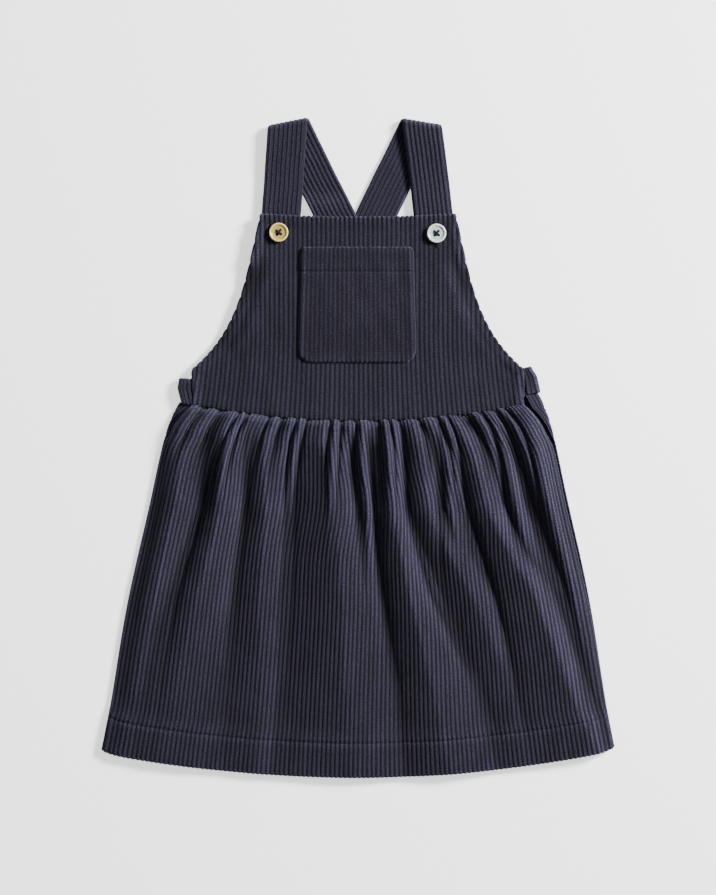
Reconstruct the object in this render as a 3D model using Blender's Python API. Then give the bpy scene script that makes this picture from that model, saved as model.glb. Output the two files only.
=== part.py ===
"""A child's corduroy pinafore dress, laid flat on its back panel.

Sizes are millimetres, and mesh points are turned into metres by MM.
+X is the dress's left side as worn (right as it lies), +Y runs from hem to shoulder,
+Z points up off the surface that the dress lies on.
"""
import math

import bmesh
import bpy
import numpy as np

MM = 0.001

# Cloth and clearances
CLOTH = 2.0             # one layer of corduroy, base and wales together
SEAM_GAP = 0.3          # between pieces that are sewn or lie on each other

# Front waist seam and hem, as curves over the share s of the half width, -1 to 1
WAIST_LOW = 19.6        # height of the seam at the middle of the front
WAIST_RISE = 12.0       # how far the seam climbs from the middle to each side
HEM_LOW = -247.3        # height of the hem at the middle
HEM_RISE_RIGHT = 18.3   # climb of the hem on the -X side
HEM_RISE_LEFT = 20.5    # climb of the hem on the +X side

# Skirt panels
SKIRT_HALF_TOP = 141.0  # half width that the straight side seams would have at the waist
SKIRT_FLARE = 51.0      # what each side seam gains down to the hem
FRONT_PULL = 17.0       # how far the gathers draw the front in at the waist
BACK_PULL = 7.0         # the elastic draws the back in less while it lies flat
PULL_LENGTH = 0.06      # share of the skirt's length over which that pull dies out
TUCKS = 28              # gathers along the front waist seam
TUCK_HEIGHT = 4.2
BACK_RIPPLE = 2.4       # height of the back's pressed gathers under the band
BACK_FLAT_FROM = 0.5    # share of the length below which the back lies quite flat
SIDE_ROLL = 13.0        # width of cloth that comes down to the side seam
SKIRT_ROWS = 16
BACK_ROWS = 8

# Bib
BIB_TOP = 172.3         # height of the top edge at its middle
BIB_TOP_RISE = 2.4
BIB_HALF_TOP = 73.0
ARMHOLE_FLARE = 25.0    # straight part of the armhole's run outwards
ARMHOLE_SCOOP = 26.5    # curved part of it
ARMHOLE_POWER = 4.2
ARMHOLE_END = 58.0      # height where the armhole meets the short side seam
BIB_SIDE = BIB_HALF_TOP + ARMHOLE_FLARE + ARMHOLE_SCOOP     # half width below the armholes
BIB_COLUMNS = 20
BIB_ROWS = 13
BIB_LOW_LEVEL = 4.6     # underside of the bib over the back waistband
BIB_HIGH_LEVEL = 6.9    # underside of the bib over the crossed straps
BIB_EDGE_DROP = 3.2     # how far the free armhole edges fall

# Patch pocket
POCKET_MIDDLE = -0.6
POCKET_HALF_TOP = 43.0
POCKET_HALF_BOTTOM = 44.4
POCKET_TOP = 149.6
POCKET_BOTTOM = 63.8
POCKET_CORNER = 10.0
POCKET_COLUMNS = 10
POCKET_ROWS = 11

# Elastic back waistband
BAND_HALF = 134.8
BAND_HEIGHT = 20.0
BAND_MIDDLE = 46.8      # height of its centre line at the two ends
BAND_TILT = 4.3         # its +X end lies this much higher, its -X end this much lower
BAND_SAG = 9.0          # how far its middle hangs below its ends
BAND_THICK = 3.0
BAND_BEND = 2.0         # radius, at the middle of its thickness, where an end turns up
BAND_RUCHES = 30
BAND_BEND_STEPS = 6

# Straps
STRAP_WIDTH = 29.0
STRAP_THICK = 3.0
STRAP_BEND = 2.6        # radius of the shoulder fold, at the middle of the strap's thickness
STRAP_FRONT = 97.0      # length of the front leg
STRAP_REST = 4.95       # height of the front leg's middle where the bib covers it
STRAP_COLUMNS = 4
# side is the sign of X, crest is the top of the shoulder fold at its middle, leans are the
# legs' angles from upright, and rise lifts the upper strap over the other where they cross
STRAPS = (
    dict(name="strap_left", side=1, crest=(48.9, 244.35), front_lean=7.0, back_lean=25.9, rise=0.0),
    dict(name="strap_right", side=-1, crest=(53.5, 244.35), front_lean=4.0, back_lean=26.3, rise=3.35),
)
CROSSING_TOP = 194.0    # the upper strap climbs between these two heights
CROSSING_BOTTOM = 84.0
CROSSING_SLOPE = 13.0

# Buttons
BUTTON_RADIUS = 7.5
BUTTON_THICK = 3.0
BUTTON_HOLE = 0.95      # radius of a thread hole
BUTTON_HOLE_PITCH = 3.1
BUTTON_SIDES = 28
BUTTONS = (
    dict(name="button_left", across=58.9, height=160.4, colour=(0.74, 0.70, 0.66, 1), gloss=0.28),
    dict(name="button_right", across=-59.6, height=161.3, colour=(0.42, 0.25, 0.11, 1), gloss=0.35),
)

# The front skirt's folds. Each has the share of the half width where its crest runs and its
# height, at the waist, a quarter, half and three quarters of the way down, and at the hem,
# and its reach to either side as a share of the half width, near the top and at the hem.
FOLD_STATIONS = (0.0, 0.25, 0.5, 0.75, 1.0)
FOLDS = (
    dict(crest=(-0.93, -0.88, -0.89, -0.905, -0.90), height=(2, 7, 6.5, 4, 2),
         left=(0.11, 0.11), right=(0.13, 0.09)),
    dict(crest=(-0.72, -0.657, -0.705, -0.747, -0.76), height=(4, 10, 9, 5.5, 3),
         left=(0.07, 0.26), right=(0.10, 0.24)),
    dict(crest=(-0.52, -0.445, -0.435, -0.40, -0.40), height=(4, 7, 4.5, 2.5, 1.5),
         left=(0.11, 0.14), right=(0.11, 0.12)),
    dict(crest=(-0.18, -0.105, -0.065, -0.052, -0.033), height=(4, 9, 9.5, 6.5, 3),
         left=(0.22, 0.28), right=(0.16, 0.24)),
    dict(crest=(0.0, 0.046, 0.06, 0.06, 0.06), height=(3, 7, 1, 0, 0),
         left=(0.05, 0.05), right=(0.045, 0.045)),
    dict(crest=(0.148, 0.173, 0.236, 0.312, 0.365), height=(4, 10, 10.5, 8, 4.5),
         left=(0.10, 0.19), right=(0.06, 0.22)),
    dict(crest=(0.33, 0.34, 0.511, 0.625, 0.66), height=(4, 8, 6.5, 3.5, 1.5),
         left=(0.11, 0.16), right=(0.10, 0.16)),
    dict(crest=(0.493, 0.447, 0.50, 0.55, 0.60), height=(3, 6.5, 1, 0, 0),
         left=(0.05, 0.05), right=(0.08, 0.08)),
    dict(crest=(0.584, 0.623, 0.768, 0.851, 0.93), height=(4, 10, 11, 9, 4.5),
         left=(0.09, 0.38), right=(0.10, 0.08)),
    dict(crest=(0.76, 0.76, 0.80, 0.84, 0.88), height=(3, 7.5, 2, 0, 0),
         left=(0.05, 0.05), right=(0.07, 0.07)),
    dict(crest=(0.886, 0.911, 0.966, 0.99, 1.0), height=(2, 8, 6, 3, 1),
         left=(0.08, 0.05), right=(0.12, 0.06)),
)
FOLD_SHARPNESS = 3.0    # power of the union of folds: larger makes the valleys narrower
FOLD_START = 0.12       # share of the length over which the folds grow out of the gathers

NAVY = (0.026, 0.024, 0.040, 1)


def ease(low, high, value):
    """A smooth step from 0 at low to 1 at high."""
    share = np.clip((value - low) / (high - low), 0.0, 1.0)
    return share * share * (3.0 - 2.0 * share)


def waist_curve(share):
    return WAIST_LOW + WAIST_RISE * share ** 2


def hem_curve(share):
    rise = np.where(share > 0, HEM_RISE_LEFT, HEM_RISE_RIGHT)
    return HEM_LOW + rise * share ** 2


def skirt_half(down, pull):
    """Half width of a skirt panel, down from 0 at the waist to 1 at the hem."""
    return SKIRT_HALF_TOP + SKIRT_FLARE * down - pull * np.exp(-down / PULL_LENGTH)


def band_line(across):
    """Height of the back waistband's centre line."""
    share = across / BAND_HALF
    return BAND_MIDDLE + BAND_TILT * share - BAND_SAG * (1.0 - share ** 2)


def tuck_wave(share, down, reach):
    """The row of gathers below a seam, 0 to 1, each dying out over its own length."""
    turn = TUCKS * (share + 1.0) / 2.0
    wobble = 0.5 + 0.5 * np.sin(2.1 * turn + 1.3 * np.sin(0.7 * turn))
    length = reach * (0.7 + 0.6 * wobble)
    wave = 0.5 - 0.5 * np.cos(2.0 * math.pi * turn)
    return wave * np.exp(-(down / length) ** 2)


def fold_height(share, down):
    """Height of the front skirt's large folds above the cloth's lowest level."""
    total = np.zeros_like(share)
    for fold in FOLDS:
        crest = np.interp(down, FOLD_STATIONS, fold["crest"])
        height = np.interp(down, FOLD_STATIONS, fold["height"])
        left = fold["left"][0] + (fold["left"][1] - fold["left"][0]) * down
        right = fold["right"][0] + (fold["right"][1] - fold["right"][0]) * down
        reach = np.where(share < crest, left, right)
        away = np.clip((share - crest) / reach, -1.0, 1.0)
        bump = height * np.cos(away * math.pi / 2.0) ** 2
        total += bump ** FOLD_SHARPNESS
    return total ** (1.0 / FOLD_SHARPNESS)


def side_fade(across, down):
    """1 over the skirt, falling to 0 at the back panel's side edges."""
    edge = skirt_half(down, BACK_PULL)
    return 1.0 - ease(edge - SIDE_ROLL, edge, np.abs(across))


def front_relief(across, down):
    share = across / skirt_half(down, FRONT_PULL)
    folds = fold_height(share, down) * ease(0.0, FOLD_START, down)
    seam = 0.45 + 0.55 * ease(0.0, 0.035, down)
    gathers = TUCK_HEIGHT * seam * tuck_wave(share, down, 0.14)
    return (folds + gathers) * side_fade(across, down)


def back_envelope(across, down):
    """The most that the back panel's pressed gathers rise at a place."""
    return BACK_RIPPLE * (1.0 - ease(0.1, BACK_FLAT_FROM, down)) * side_fade(across, down)


def back_relief(across, down):
    share = across / skirt_half(down, BACK_PULL)
    broad = 0.035 * fold_height(-share, down) * ease(0.0, FOLD_START, down)
    return back_envelope(across, down) * np.minimum(1.0, broad + tuck_wave(share, down, 0.12))


def front_base(across, down):
    """The level of the front panel's lower face between its folds, clear of the back panel."""
    return CLOTH + SEAM_GAP + np.maximum(back_envelope(across, down),
                                         back_envelope(across, down + 0.04))


def even_cloth(half, relief, columns):
    """Distances across at which a row's evenly spaced cloth threads lie."""
    across = np.linspace(-half, half, 1201)
    step = np.hypot(np.diff(across), np.diff(relief(across)))
    along = np.concatenate(([0.0], np.cumsum(step)))
    return np.interp(np.linspace(0.0, along[-1], columns + 1), along, across)


def paint(solid, name, colour, roughness, metallic=0.0):
    material = bpy.data.materials.new(name + "_finish")
    material.use_nodes = True
    shader = material.node_tree.nodes["Principled BSDF"]
    shader.inputs["Base Color"].default_value = colour
    shader.inputs["Roughness"].default_value = roughness
    shader.inputs["Metallic"].default_value = metallic
    solid.data.materials.append(material)


def new_object(name, mesh_builder, colour=NAVY, roughness=0.95):
    mesh = bpy.data.meshes.new(name)
    bmesh.ops.recalc_face_normals(mesh_builder, faces=mesh_builder.faces)
    mesh_builder.to_mesh(mesh)
    mesh_builder.free()
    solid = bpy.data.objects.new(name, mesh)
    bpy.context.scene.collection.objects.link(solid)
    paint(solid, name, colour, roughness)
    return solid


def grid(columns, rows, place):
    """A sheet of columns by rows cells; place gives the point, in mm, of the corner (i, j)."""
    sheet = bmesh.new()
    corner = sheet.verts.layers.int.new("corner")
    bmesh.ops.create_grid(sheet, x_segments=columns, y_segments=rows, size=0.5)
    for vertex in sheet.verts:
        i = round((vertex.co.x + 0.5) * columns)
        j = round((vertex.co.y + 0.5) * rows)
        vertex[corner] = i * (rows + 1) + j
        vertex.co = [value * MM for value in place(i, j)]
    return sheet


def wall(name, columns, rows, place, thick):
    """A cloth wall standing on the points of place; thick gives its height in mm at (i, j)."""
    sheet = grid(columns, rows, place)
    corner = sheet.verts.layers.int["corner"]
    extruded = bmesh.ops.extrude_face_region(sheet, geom=sheet.faces[:])
    for element in extruded["geom"]:
        if isinstance(element, bmesh.types.BMVert):
            i, j = divmod(element[corner], rows + 1)
            element.co.z += thick(i, j) * MM
    return new_object(name, sheet)


def cloth_thick(i, j):
    return CLOTH


# ---------------------------------------------------------------- skirt panels

def skirt_panel(name, rows, pull, top_line, relief, base):
    """A gathered panel: rows run from the waist to the hem, columns follow the threads."""
    columns = 2 * TUCKS
    downs = [(row / rows) ** 1.5 for row in range(rows + 1)]
    lines = []
    for down in downs:
        half = skirt_half(down, pull)
        across = even_cloth(half, lambda x: relief(x, down), columns)
        share = across / half
        height = (1.0 - down) * top_line(across, share) + down * hem_curve(share)
        level = base(across, down) + relief(across, down)
        lines.append(np.column_stack((across, height, level)))
    return wall(name, columns, rows, lambda i, j: lines[rows - j][i], cloth_thick)


def back_top_line(across, share):
    return band_line(across) - BAND_HEIGHT / 2.0 - SEAM_GAP


def front_top_line(across, share):
    return waist_curve(share) - SEAM_GAP


def make_skirts():
    skirt_panel("back_skirt", BACK_ROWS, BACK_PULL, back_top_line,
                back_relief, lambda across, down: np.zeros_like(across))
    skirt_panel("front_skirt", SKIRT_ROWS, FRONT_PULL, front_top_line,
                front_relief, front_base)


# ---------------------------------------------------------------- bib and pocket

def bib_half(height):
    """Half width of the bib: straight sides at the waist, then the scooped armholes."""
    climb = np.clip((BIB_TOP + BIB_TOP_RISE - height)
                    / (BIB_TOP + BIB_TOP_RISE - ARMHOLE_END), 0.0, 1.0)
    return BIB_HALF_TOP + ARMHOLE_FLARE * climb + ARMHOLE_SCOOP * climb ** ARMHOLE_POWER


def bib_under(across, height):
    """Underside of the bib: over the waistband, then up over the crossed straps."""
    level = BIB_LOW_LEVEL + (BIB_HIGH_LEVEL - BIB_LOW_LEVEL) * ease(66.0, 104.0, height)
    from_edge = bib_half(height) - np.abs(across)
    free = ease(60.0, 82.0, height) * (1.0 - ease(124.0, 146.0, height))
    return level - BIB_EDGE_DROP * free * (1.0 - ease(0.0, 18.0, from_edge))


def make_bib():
    side_low = WAIST_LOW + WAIST_RISE
    side_high = BIB_TOP + BIB_TOP_RISE
    corner = (ARMHOLE_END - side_low) / (side_high - side_low)

    def place(i, j):
        share = 2.0 * i / BIB_COLUMNS - 1.0
        up = corner * j / 2.0 if j < 2 else corner + (1.0 - corner) * (j - 2) / (BIB_ROWS - 2)
        half = bib_half(side_low + (side_high - side_low) * up)
        top = BIB_TOP + BIB_TOP_RISE * share ** 2
        across = share * half
        height = (1.0 - up) * waist_curve(share) + up * top
        return across, height, bib_under(across, height)

    wall("front_bib", BIB_COLUMNS, BIB_ROWS, place, cloth_thick)


def make_pocket():
    def place(i, j):
        up = 1.0 - math.cos(0.5 * math.pi * j / POCKET_ROWS)
        height = POCKET_BOTTOM + (POCKET_TOP - POCKET_BOTTOM) * up
        half = POCKET_HALF_BOTTOM + (POCKET_HALF_TOP - POCKET_HALF_BOTTOM) * up
        inside = max(0.0, POCKET_CORNER - (height - POCKET_BOTTOM))
        half -= POCKET_CORNER - math.sqrt(POCKET_CORNER ** 2 - inside ** 2)
        across = POCKET_MIDDLE + half * (2.0 * i / POCKET_COLUMNS - 1.0)
        return across, height, bib_under(across, height) + CLOTH + SEAM_GAP

    wall("bib_pocket", POCKET_COLUMNS, POCKET_ROWS, place, cloth_thick)


# ---------------------------------------------------------------- waistband

def make_waistband():
    """The ruched band: flat behind, with both ends turned up to meet the bib's sides."""
    flat_half = BAND_HALF - BAND_BEND - BAND_THICK / 2.0
    flat = np.linspace(-flat_half, flat_half, 2 * BAND_RUCHES + 1)
    turn = np.linspace(0.0, math.pi, BAND_BEND_STEPS + 1)[1:]
    line = [(across, 0.0, 0.0) for across in flat]
    line += [(flat_half, angle, 0.0) for angle in turn]
    back_in = flat_half - (BIB_SIDE + SEAM_GAP)
    line += [(flat_half, math.pi, back_in * share) for share in (0.5, 1.0)]
    line = [(-across, angle, back) for across, angle, back in reversed(line[len(flat):])] + line
    rows = 2

    def place(i, j):
        across, angle, back = line[i]
        side = math.copysign(1.0, across)
        out = across + side * (BAND_BEND * math.sin(angle) - back)
        level = BAND_THICK / 2.0 + BAND_BEND * (1.0 - math.cos(angle))
        height = band_line(out) + BAND_HEIGHT * (j / rows - 0.5)
        return out, height, level

    solid = new_object("back_waistband", grid(len(line) - 1, rows, place))
    thickness = solid.modifiers.new("elastic_casing", "SOLIDIFY")
    thickness.thickness = BAND_THICK * MM
    thickness.offset = 0.0


# ---------------------------------------------------------------- straps

def strap_point(strap, along, beside):
    """A point of the strap's middle surface.

    The strap starts as a flat strip that leans inwards from behind the bib, and is then
    wound half a turn round the shoulder fold; along is measured from its front end.
    """
    lean = math.radians(strap["front_lean"])
    tilt = math.radians((strap["back_lean"] - strap["front_lean"]) / 2.0)
    run = np.array((-math.sin(lean), math.cos(lean)))
    width = np.array((math.cos(lean), math.sin(lean)))
    out = np.array((math.sin(tilt), math.cos(tilt)))
    fold = np.array(strap["crest"]) - (STRAP_BEND + STRAP_THICK / 2.0) * out
    flat = fold + run * (along - STRAP_FRONT) + width * beside
    past = float(np.dot(flat - fold, out))
    half_turn = math.pi * STRAP_BEND
    low = STRAP_THICK / 2.0
    if past <= 0.0:
        point = flat
        level = STRAP_REST + (low + 2.0 * STRAP_BEND - STRAP_REST) * (1.0 - ease(0, 45, -past))
    elif past < half_turn:
        angle = past / STRAP_BEND
        point = flat + out * (STRAP_BEND * math.sin(angle) - past)
        level = low + STRAP_BEND * (1.0 + math.cos(angle))
    else:
        point = flat - out * (2.0 * past - half_turn)
        climb = 1.0 - ease(CROSSING_TOP - CROSSING_SLOPE, CROSSING_TOP, point[1])
        settle = ease(CROSSING_BOTTOM, CROSSING_BOTTOM + CROSSING_SLOPE, point[1])
        level = low + strap["rise"] * climb * settle
    return strap["side"] * point[0], point[1], level


def strap_length(strap, beside):
    """Length along the strap at which its back leg comes to the waistband's top edge."""
    short = STRAP_FRONT + math.pi * STRAP_BEND
    long = short + 2.0 * (strap["crest"][1] - BAND_MIDDLE)
    for _ in range(40):
        middle = (short + long) / 2.0
        across, height, level = strap_point(strap, middle, beside)
        if height > band_line(across) + BAND_HEIGHT / 2.0 + SEAM_GAP:
            short = middle
        else:
            long = middle
    return short


def make_strap(strap):
    reach = 0.25 * STRAP_WIDTH
    bend_start = STRAP_FRONT - reach
    bend_end = STRAP_FRONT + math.pi * STRAP_BEND + reach
    marks = np.concatenate((np.linspace(0.0, bend_start, 5)[:-1],
                            np.linspace(bend_start, bend_end, 15)))
    back_rows = 18
    rows = len(marks) - 1 + back_rows

    def place(i, j):
        beside = STRAP_WIDTH * (i / STRAP_COLUMNS - 0.5)
        if j < len(marks):
            along = marks[j]
        else:
            share = (j - len(marks) + 1) / back_rows
            along = bend_end + (strap_length(strap, beside) - bend_end) * share
        return strap_point(strap, along, beside)

    solid = new_object(strap["name"], grid(STRAP_COLUMNS, rows, place))
    thickness = solid.modifiers.new("two_layers", "SOLIDIFY")
    thickness.thickness = STRAP_THICK * MM
    thickness.offset = 0.0


# ---------------------------------------------------------------- buttons

def make_button(button):
    """A four-hole button: a turned disc with a raised rim, then drilled."""
    profile = ((0.0, 0.0), (0.72, 0.0), (0.95, 0.22), (1.0, 0.45), (0.98, 0.82), (0.88, 1.0),
               (0.76, 0.94), (0.64, 0.72), (0.0, 0.66))
    turned = bmesh.new()
    ring = [turned.verts.new((reach * BUTTON_RADIUS * MM, 0.0, rise * BUTTON_THICK * MM))
            for reach, rise in profile]
    edges = [turned.edges.new(pair) for pair in zip(ring, ring[1:])]
    bmesh.ops.spin(turned, geom=ring + edges, axis=(0, 0, 1), cent=(0, 0, 0),
                   angle=2.0 * math.pi, steps=BUTTON_SIDES, use_merge=True)
    bmesh.ops.remove_doubles(turned, verts=turned.verts, dist=1e-6)
    solid = new_object(button["name"], turned, button["colour"], button["gloss"])
    seat = float(bib_under(button["across"], button["height"])) + CLOTH + SEAM_GAP
    solid.location = (button["across"] * MM, button["height"] * MM, seat * MM)
    holes = bmesh.new()
    for x in (-0.5, 0.5):
        for y in (-0.5, 0.5):
            drill = bmesh.ops.create_cone(holes, segments=10, radius1=BUTTON_HOLE * MM,
                                          radius2=BUTTON_HOLE * MM, depth=4.0 * BUTTON_THICK * MM,
                                          cap_ends=True)
            bmesh.ops.translate(holes, verts=drill["verts"],
                                vec=(x * BUTTON_HOLE_PITCH * MM, y * BUTTON_HOLE_PITCH * MM, 0))
    cutter = new_object(button["name"] + "_drill", holes)
    cutter.location = solid.location
    cutter.hide_render = True
    cutter.display_type = "WIRE"
    drilling = solid.modifiers.new("thread_holes", "BOOLEAN")
    drilling.operation = "DIFFERENCE"
    drilling.object = cutter


for leftover in list(bpy.data.objects):
    bpy.data.objects.remove(leftover, do_unlink=True)

make_skirts()
make_bib()
make_pocket()
make_waistband()
for strap in STRAPS:
    make_strap(strap)
for button in BUTTONS:
    make_button(button)
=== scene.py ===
"""A child's corduroy pinafore dress, laid flat: the finish of every piece."""
import math

import bmesh
import bpy
import numpy as np
from mathutils import Matrix, Vector, kdtree


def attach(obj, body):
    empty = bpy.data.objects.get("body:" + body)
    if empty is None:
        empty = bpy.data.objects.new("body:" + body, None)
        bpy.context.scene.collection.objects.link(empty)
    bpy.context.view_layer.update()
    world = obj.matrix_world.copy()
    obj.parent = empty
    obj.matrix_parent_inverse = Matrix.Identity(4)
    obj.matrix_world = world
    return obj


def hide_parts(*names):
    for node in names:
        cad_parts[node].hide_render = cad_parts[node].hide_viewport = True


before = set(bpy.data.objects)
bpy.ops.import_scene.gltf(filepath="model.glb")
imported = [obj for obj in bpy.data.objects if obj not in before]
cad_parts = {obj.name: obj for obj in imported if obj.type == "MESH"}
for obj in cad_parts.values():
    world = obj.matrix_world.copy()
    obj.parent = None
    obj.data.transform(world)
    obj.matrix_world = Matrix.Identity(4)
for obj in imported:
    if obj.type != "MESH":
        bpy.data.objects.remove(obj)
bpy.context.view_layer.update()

MM = 0.001      # every size below is in millimetres, in the frame's own directions


# ------------------------------------------------------------------ camera, floor and light
# The dress is seen from straight above, lying on white paper that is lit from within a
# little. A soft light at its upper right shades each fold to the lower left.

CAMERA_HEIGHT = 2.2         # metres
VIEW_LONG_SIDE = 0.67125    # metres of floor across the picture's longer side
KEY_PLACE = Vector((1.85, 1.0, 1.3))
KEY_SIZE = 0.6
KEY_POWER = 236.0
ROOM_LIGHT = 0.45
PAPER_GLOW = 1.05
FLOOR_HALF = 2.5

camera = bpy.data.cameras.new("camera")
camera.sensor_width = 36.0
camera.lens = camera.sensor_width * CAMERA_HEIGHT / VIEW_LONG_SIDE
camera_object = bpy.data.objects.new("camera", camera)
camera_object.location = (0.0, 0.0, CAMERA_HEIGHT)
bpy.context.scene.collection.objects.link(camera_object)
bpy.context.scene.camera = camera_object

key = bpy.data.lights.new("key", "AREA")
key.shape = "SQUARE"
key.size = KEY_SIZE
key.energy = KEY_POWER
key.color = (1.0, 0.99, 0.98)
key_object = bpy.data.objects.new("key", key)
key_object.location = KEY_PLACE
key_object.rotation_euler = (-KEY_PLACE).to_track_quat("-Z", "Y").to_euler()
bpy.context.scene.collection.objects.link(key_object)

world = bpy.data.worlds.new("studio")
world.use_nodes = True
world.node_tree.nodes["Background"].inputs["Color"].default_value = (0.97, 0.98, 1.0, 1.0)
world.node_tree.nodes["Background"].inputs["Strength"].default_value = ROOM_LIGHT
bpy.context.scene.world = world

paper = bpy.data.materials.new("paper")
paper.use_nodes = True
paper_shader = paper.node_tree.nodes["Principled BSDF"]
paper_shader.inputs["Base Color"].default_value = (0.92, 0.92, 0.925, 1.0)
paper_shader.inputs["Roughness"].default_value = 1.0
paper_shader.inputs["Specular IOR Level"].default_value = 0.0
paper_shader.inputs["Emission Color"].default_value = (1.0, 1.0, 1.0, 1.0)
paper_shader.inputs["Emission Strength"].default_value = PAPER_GLOW

floor_shape = bmesh.new()
bmesh.ops.create_grid(floor_shape, x_segments=1, y_segments=1, size=FLOOR_HALF)
floor_mesh = bpy.data.meshes.new("floor")
floor_shape.to_mesh(floor_mesh)
floor_shape.free()
floor_mesh.materials.append(paper)
floor = bpy.data.objects.new("floor", floor_mesh)
bpy.context.scene.collection.objects.link(floor)


# ------------------------------------------------------------------ front skirt
# A panel of wide-wale corduroy whose top edge is drawn up on gathering threads into the
# curved waist seam, so it falls in tubes that run together into broad folds. Its sides
# roll down to the side seams and its lower edge is turned up inside and stitched.

class Value:
    """One number of a material: sums and products of it are Math nodes."""

    def __init__(self, tree, socket):
        self.tree = tree
        self.socket = socket

    def node(self, kind, settings=(), output=0, **inputs):
        """Any node: its settings come first, then its sockets, by name or as I0, I1."""
        made = self.tree.nodes.new(kind)
        for key, setting in dict(settings).items():
            setattr(made, key, setting)
        for key, source in inputs.items():
            place = int(key[1:]) if key[0] == "I" and key[1:].isdigit() else key.replace("_", " ")
            if isinstance(source, Value):
                self.tree.links.new(source.socket, made.inputs[place])
            else:
                made.inputs[place].default_value = source
        return Value(self.tree, made.outputs[output])

    def math(self, operation, first, second=0.0):
        return self.node("ShaderNodeMath", {"operation": operation}, I0=first, I1=second)

    def __add__(self, other):
        return self.math("ADD", self, other)

    def __sub__(self, other):
        return self.math("SUBTRACT", self, other)

    def __rsub__(self, other):
        return self.math("SUBTRACT", other, self)

    def __mul__(self, other):
        return self.math("MULTIPLY", self, other)

    def __pow__(self, other):
        return self.math("POWER", self, other)

    __radd__ = __add__
    __rmul__ = __mul__

    def clamp(self):
        return self.node("ShaderNodeClamp", I0=self)

    def step(self, low, high):
        """A smooth rise from 0 at low to 1 at high."""
        return self.node("ShaderNodeMapRange", {"interpolation_type": "SMOOTHSTEP"},
                         I0=self, I1=low, I2=high)

    def blend(self, low, high):
        """A colour between low and high, by this share."""
        return self.node("ShaderNodeMix", {"data_type": "RGBA", "clamp_factor": False}, output=2,
                         I0=self.math("MAXIMUM", self, 0.0), I6=low, I7=high)

    def noise(self, x, y, detail=2.0, roughness=0.5):
        """Noise of about 0 to 1 over a flat place whose coordinates are x and y."""
        place = self.node("ShaderNodeCombineXYZ", I0=x, I1=y)
        return self.node("ShaderNodeTexNoise", {"noise_dimensions": "2D"}, Vector=place,
                         Scale=1.0, Detail=detail, Roughness=roughness)


def new_material(name, roughness):
    """A material, its shader, and a value from which its expressions start."""
    material = bpy.data.materials.new(name)
    material.use_nodes = True
    shader = material.node_tree.nodes["Principled BSDF"]
    shader.inputs["Roughness"].default_value = roughness
    return material, shader, Value(material.node_tree, None)


def feed(shader, socket, value):
    value.tree.links.new(value.socket, shader.inputs[socket])


def flat_place(base, kind, settings=(), output=0):
    """The two flat coordinates that a texture coordinate node gives."""
    place = base.node(kind, settings, output)
    return [base.node("ShaderNodeSeparateXYZ", output=axis, I0=place) for axis in (0, 1)]


WALE = 3.5              # one rib of the corduroy with the groove beside it
RIB = 0.54              # height of a rib above its groove
BACKING = 0.7           # thickness of the woven ground under the ribs
WALE_STEPS = 5          # mesh columns to a rib

TWILL = 9000.0          # closeness of the slanting weave on the reverse, per metre
CREST_POWER = 0.9       # smaller makes the crest of a rib narrower
RIB_HIGHLIGHT_WIDTH = 2.3        # larger makes the painted highlight line along a rib narrower
RIB_HIGHLIGHT_ASIDE = 0.45       # how far that line lies to one side of the crest
PAINTED_SHADE_GAIN = 0.66       # how much lighter or darker the painted light and shade make it
PAINTED_RIDGE_HIGHLIGHT = 0.3       # painted highlight: how much lighter still it is on ridges, turned edges and slopes toward the key light
PAINTED_HIGHLIGHT_PALING = 0.19       # how far that painted highlight turns it pale

CREST_COLOUR = (0.0205, 0.0186, 0.0345, 1.0)
# the grooves between the ribs, darkened with painted shade
SHADED_GROOVE_COLOUR = (0.0056, 0.0048, 0.0074, 1.0)
GROUND_COLOUR = (0.013, 0.012, 0.021, 1.0)


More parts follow.
